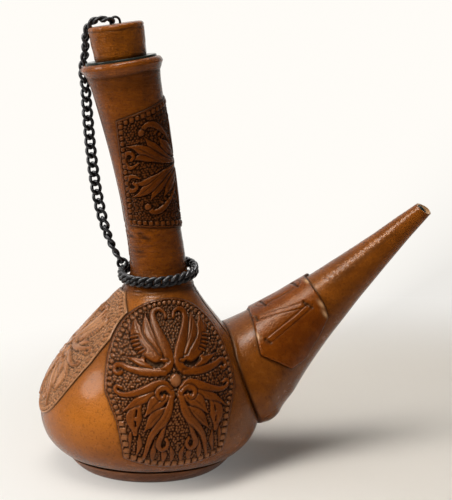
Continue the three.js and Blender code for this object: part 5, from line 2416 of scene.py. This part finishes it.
LAMPS = (
    Lamp("skylight", (-0.4, -0.3, 2.0), 1.1, 7, Rays.ALL, (1.0, 0.97, 0.93)),
    Lamp("core", (0.05, -0.05, 2.1), 1.0, 10, Rays.SHADE),
    Lamp("key", (-0.62, -0.5, 1.9), 1.0, 13, Rays.SHADE),
    Lamp("wall", (-1.75, -0.7, 1.0), 2.2, 34, Rays.SHADE),
    Lamp("core_gleam", (0.05, -0.05, 2.1), 0.5, 38, Rays.GLEAM),
    Lamp("key_gleam", (-0.62, -0.5, 1.9), 0.5, 42, Rays.GLEAM),
    Lamp("wall_gleam", (-1.6, 0.0, 1.05), 0.7, 17, Rays.GLEAM),
)


@dataclass
class Studio:
    """Camera, floor with a pool of painted shade, and soft light."""

    eye: Place = (-183.2, -793.3, 262.4)
    heading: float = math.radians(-16.26)
    pitch: float = math.radians(-8.81)
    roll: float = math.radians(0.79)
    focal_px: float = 1325.9
    sensor: float = 36
    nearest_seen: float = 0.05
    floor_rings: tuple[float, ...] = (0.0005, 0.2, 0.5, 1.0, 20.0)
    floor_drop: float = 0.05
    white: Colour = (1.0, 0.975, 0.93)
    grey: Colour = (0.2, 0.188, 0.175)
    white_way: Place = (-0.25, 0.96, 0.1)
    white_span: Point = (0.2, 0.75)
    pale_round: float = 0.8
    # The floor's colour near the object is greyer than the backdrop: a painted pool of shade that fades to
    # white farther out.
    floor: Colour = (0.76, 0.72, 0.66)
    floor_fade: Point = (0.14, 0.48)
    white_floor: Point = (0.16, 0.44)
    shadow_at: Place = (0.25, 0.03, 0.0)
    soft_light: float = 0.22

    def build(self) -> None:
        """Set up the stage."""
        scene = bpy.context.scene
        scene.view_settings.view_transform = "Standard"
        self.build_camera(scene)
        self.build_world(scene)
        self.build_floor()
        for lamp in LAMPS:
            lamp.build()

    def build_camera(self, scene: bpy.types.Scene) -> None:
        """Add the camera.

        Args:
            scene: The scene.
        """
        data = bpy.data.cameras.new("camera")
        data.sensor_fit = "HORIZONTAL"
        data.sensor_width = self.sensor
        data.lens = self.focal_px * self.sensor / PHOTO_WIDTH
        data.clip_start = self.nearest_seen
        camera = bpy.data.objects.new("camera", data)
        place = Matrix.Translation(Vector(self.eye) * MM) @ Matrix.Rotation(self.heading, 4, "Z")
        tilt = Matrix.Rotation(math.pi / 2 + self.pitch, 4, "X") @ Matrix.Rotation(self.roll, 4, "Z")
        camera.matrix_world = place @ tilt
        scene.collection.objects.link(camera)
        scene.camera = camera

    def build_world(self, scene: bpy.types.Scene) -> None:
        """Light the scene softly, and show a pale backdrop to the camera and in reflections.

        Args:
            scene: The scene.
        """
        world = bpy.data.worlds.new("studio")
        g = Graph(world)
        way = g.value("ShaderNodeTexCoord", {}, {}, "Generated")
        strength = self.soft_light + self.shows_backdrop(g) * (1 - self.soft_light)
        light = g.value("ShaderNodeBackground", {}, {"Color": self.backdrop(g, way), "Strength": strength})
        g.node("ShaderNodeOutputWorld", {}, {"Surface": light})
        scene.world = world

    def shows_backdrop(self, g: Graph) -> Value:
        """Tell the rays that show the backdrop.

Args:
    g: The graph that it goes into.

Returns:
    1 on rays to the camera, off polished pieces and through glass.
"""
        names = ("Is Camera Ray", "Is Glossy Ray", "Is Transmission Ray")
        camera, glossy, through = (g.value("ShaderNodeLightPath", {}, {}, name) for name in names)
        return camera | glossy | through

    def backdrop(self, g: Graph, way: Value) -> Value:
        """Colour of the backdrop in a direction.

        Args:
            g: The graph that it goes into.
            way: The direction.

        Returns:
            White behind the object, grey in front of it, and pale all round to the camera.
        """
        facing = g.vector("DOT_PRODUCT", way, self.white_way).between(*self.white_span)
        seen = g.value("ShaderNodeLightPath", {}, {}, "Is Camera Ray")
        return g.mixed(facing | seen * self.pale_round, self.grey, self.white)

    def build_floor(self) -> None:
        """Add a floor, greyer near the object as a pool of painted shade, that fades into the pale backdrop
        away from it.
        """
        g = Graph(bpy.data.materials.new("pale_floor"))
        at = g.value("ShaderNodeTexCoord", {}, {}, "Object")
        far = g.vector("LENGTH", g.vector("SUBTRACT", at, self.shadow_at))
        fade = far.between(*self.floor_fade) * self.shows_backdrop(g)
        gloss = 0.6 + g.noise(at, 40, 3) * 0.1
        plain = g.value("ShaderNodeBsdfPrincipled", {}, {"Base Color": self.floor, "Roughness": gloss})
        outer = g.vector("LENGTH", at).between(*self.white_floor)
        shade = g.mixed(outer, self.white, self.backdrop(g, g.vector("NORMALIZE", at)))
        glow = g.value("ShaderNodeEmission", {}, {"Color": shade, "Strength": 1.0})
        mix = g.value("ShaderNodeMixShader", {}, {0: fade, 1: plain, 2: glow})
        g.node("ShaderNodeOutputMaterial", {}, {"Surface": mix})
        t = around(64)
        r = np.array(self.floor_rings)[::-1, None] / MM
        points = np.stack([r * np.cos(t), r * np.sin(t), 0 * r * t - self.floor_drop], axis=-1)
        floor = mesh_of("floor", [Patch(points, {}, ring=True)])
        floor.data.materials.append(g.owner)


def dress_hidden() -> None:
    """Give the glass that the leather hides its finish."""
    for name in ("glass_base", "glass_shoulder"):
        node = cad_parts[name]
        node.data.materials.clear()
        node.data.materials.append(materials()[Finish.GLASS])


def main() -> None:
    """Build every piece in order."""
    logging.basicConfig(level=logging.INFO, format="%(name)s: %(message)s")
    Studio().build()
    BodyLeather().build()
    NeckSleeve().build()
    strap = SpoutStrap()
    SpoutCover().build(strap)
    strap.build()
    for panel in (*OVALS, SHIELD, NECK_TOOLING):
        panel.build()
    stopper = Stopper()
    stopper.build()
    CurbChain().build(stopper)
    dress_hidden()


if __name__ == "__main__":
    main()
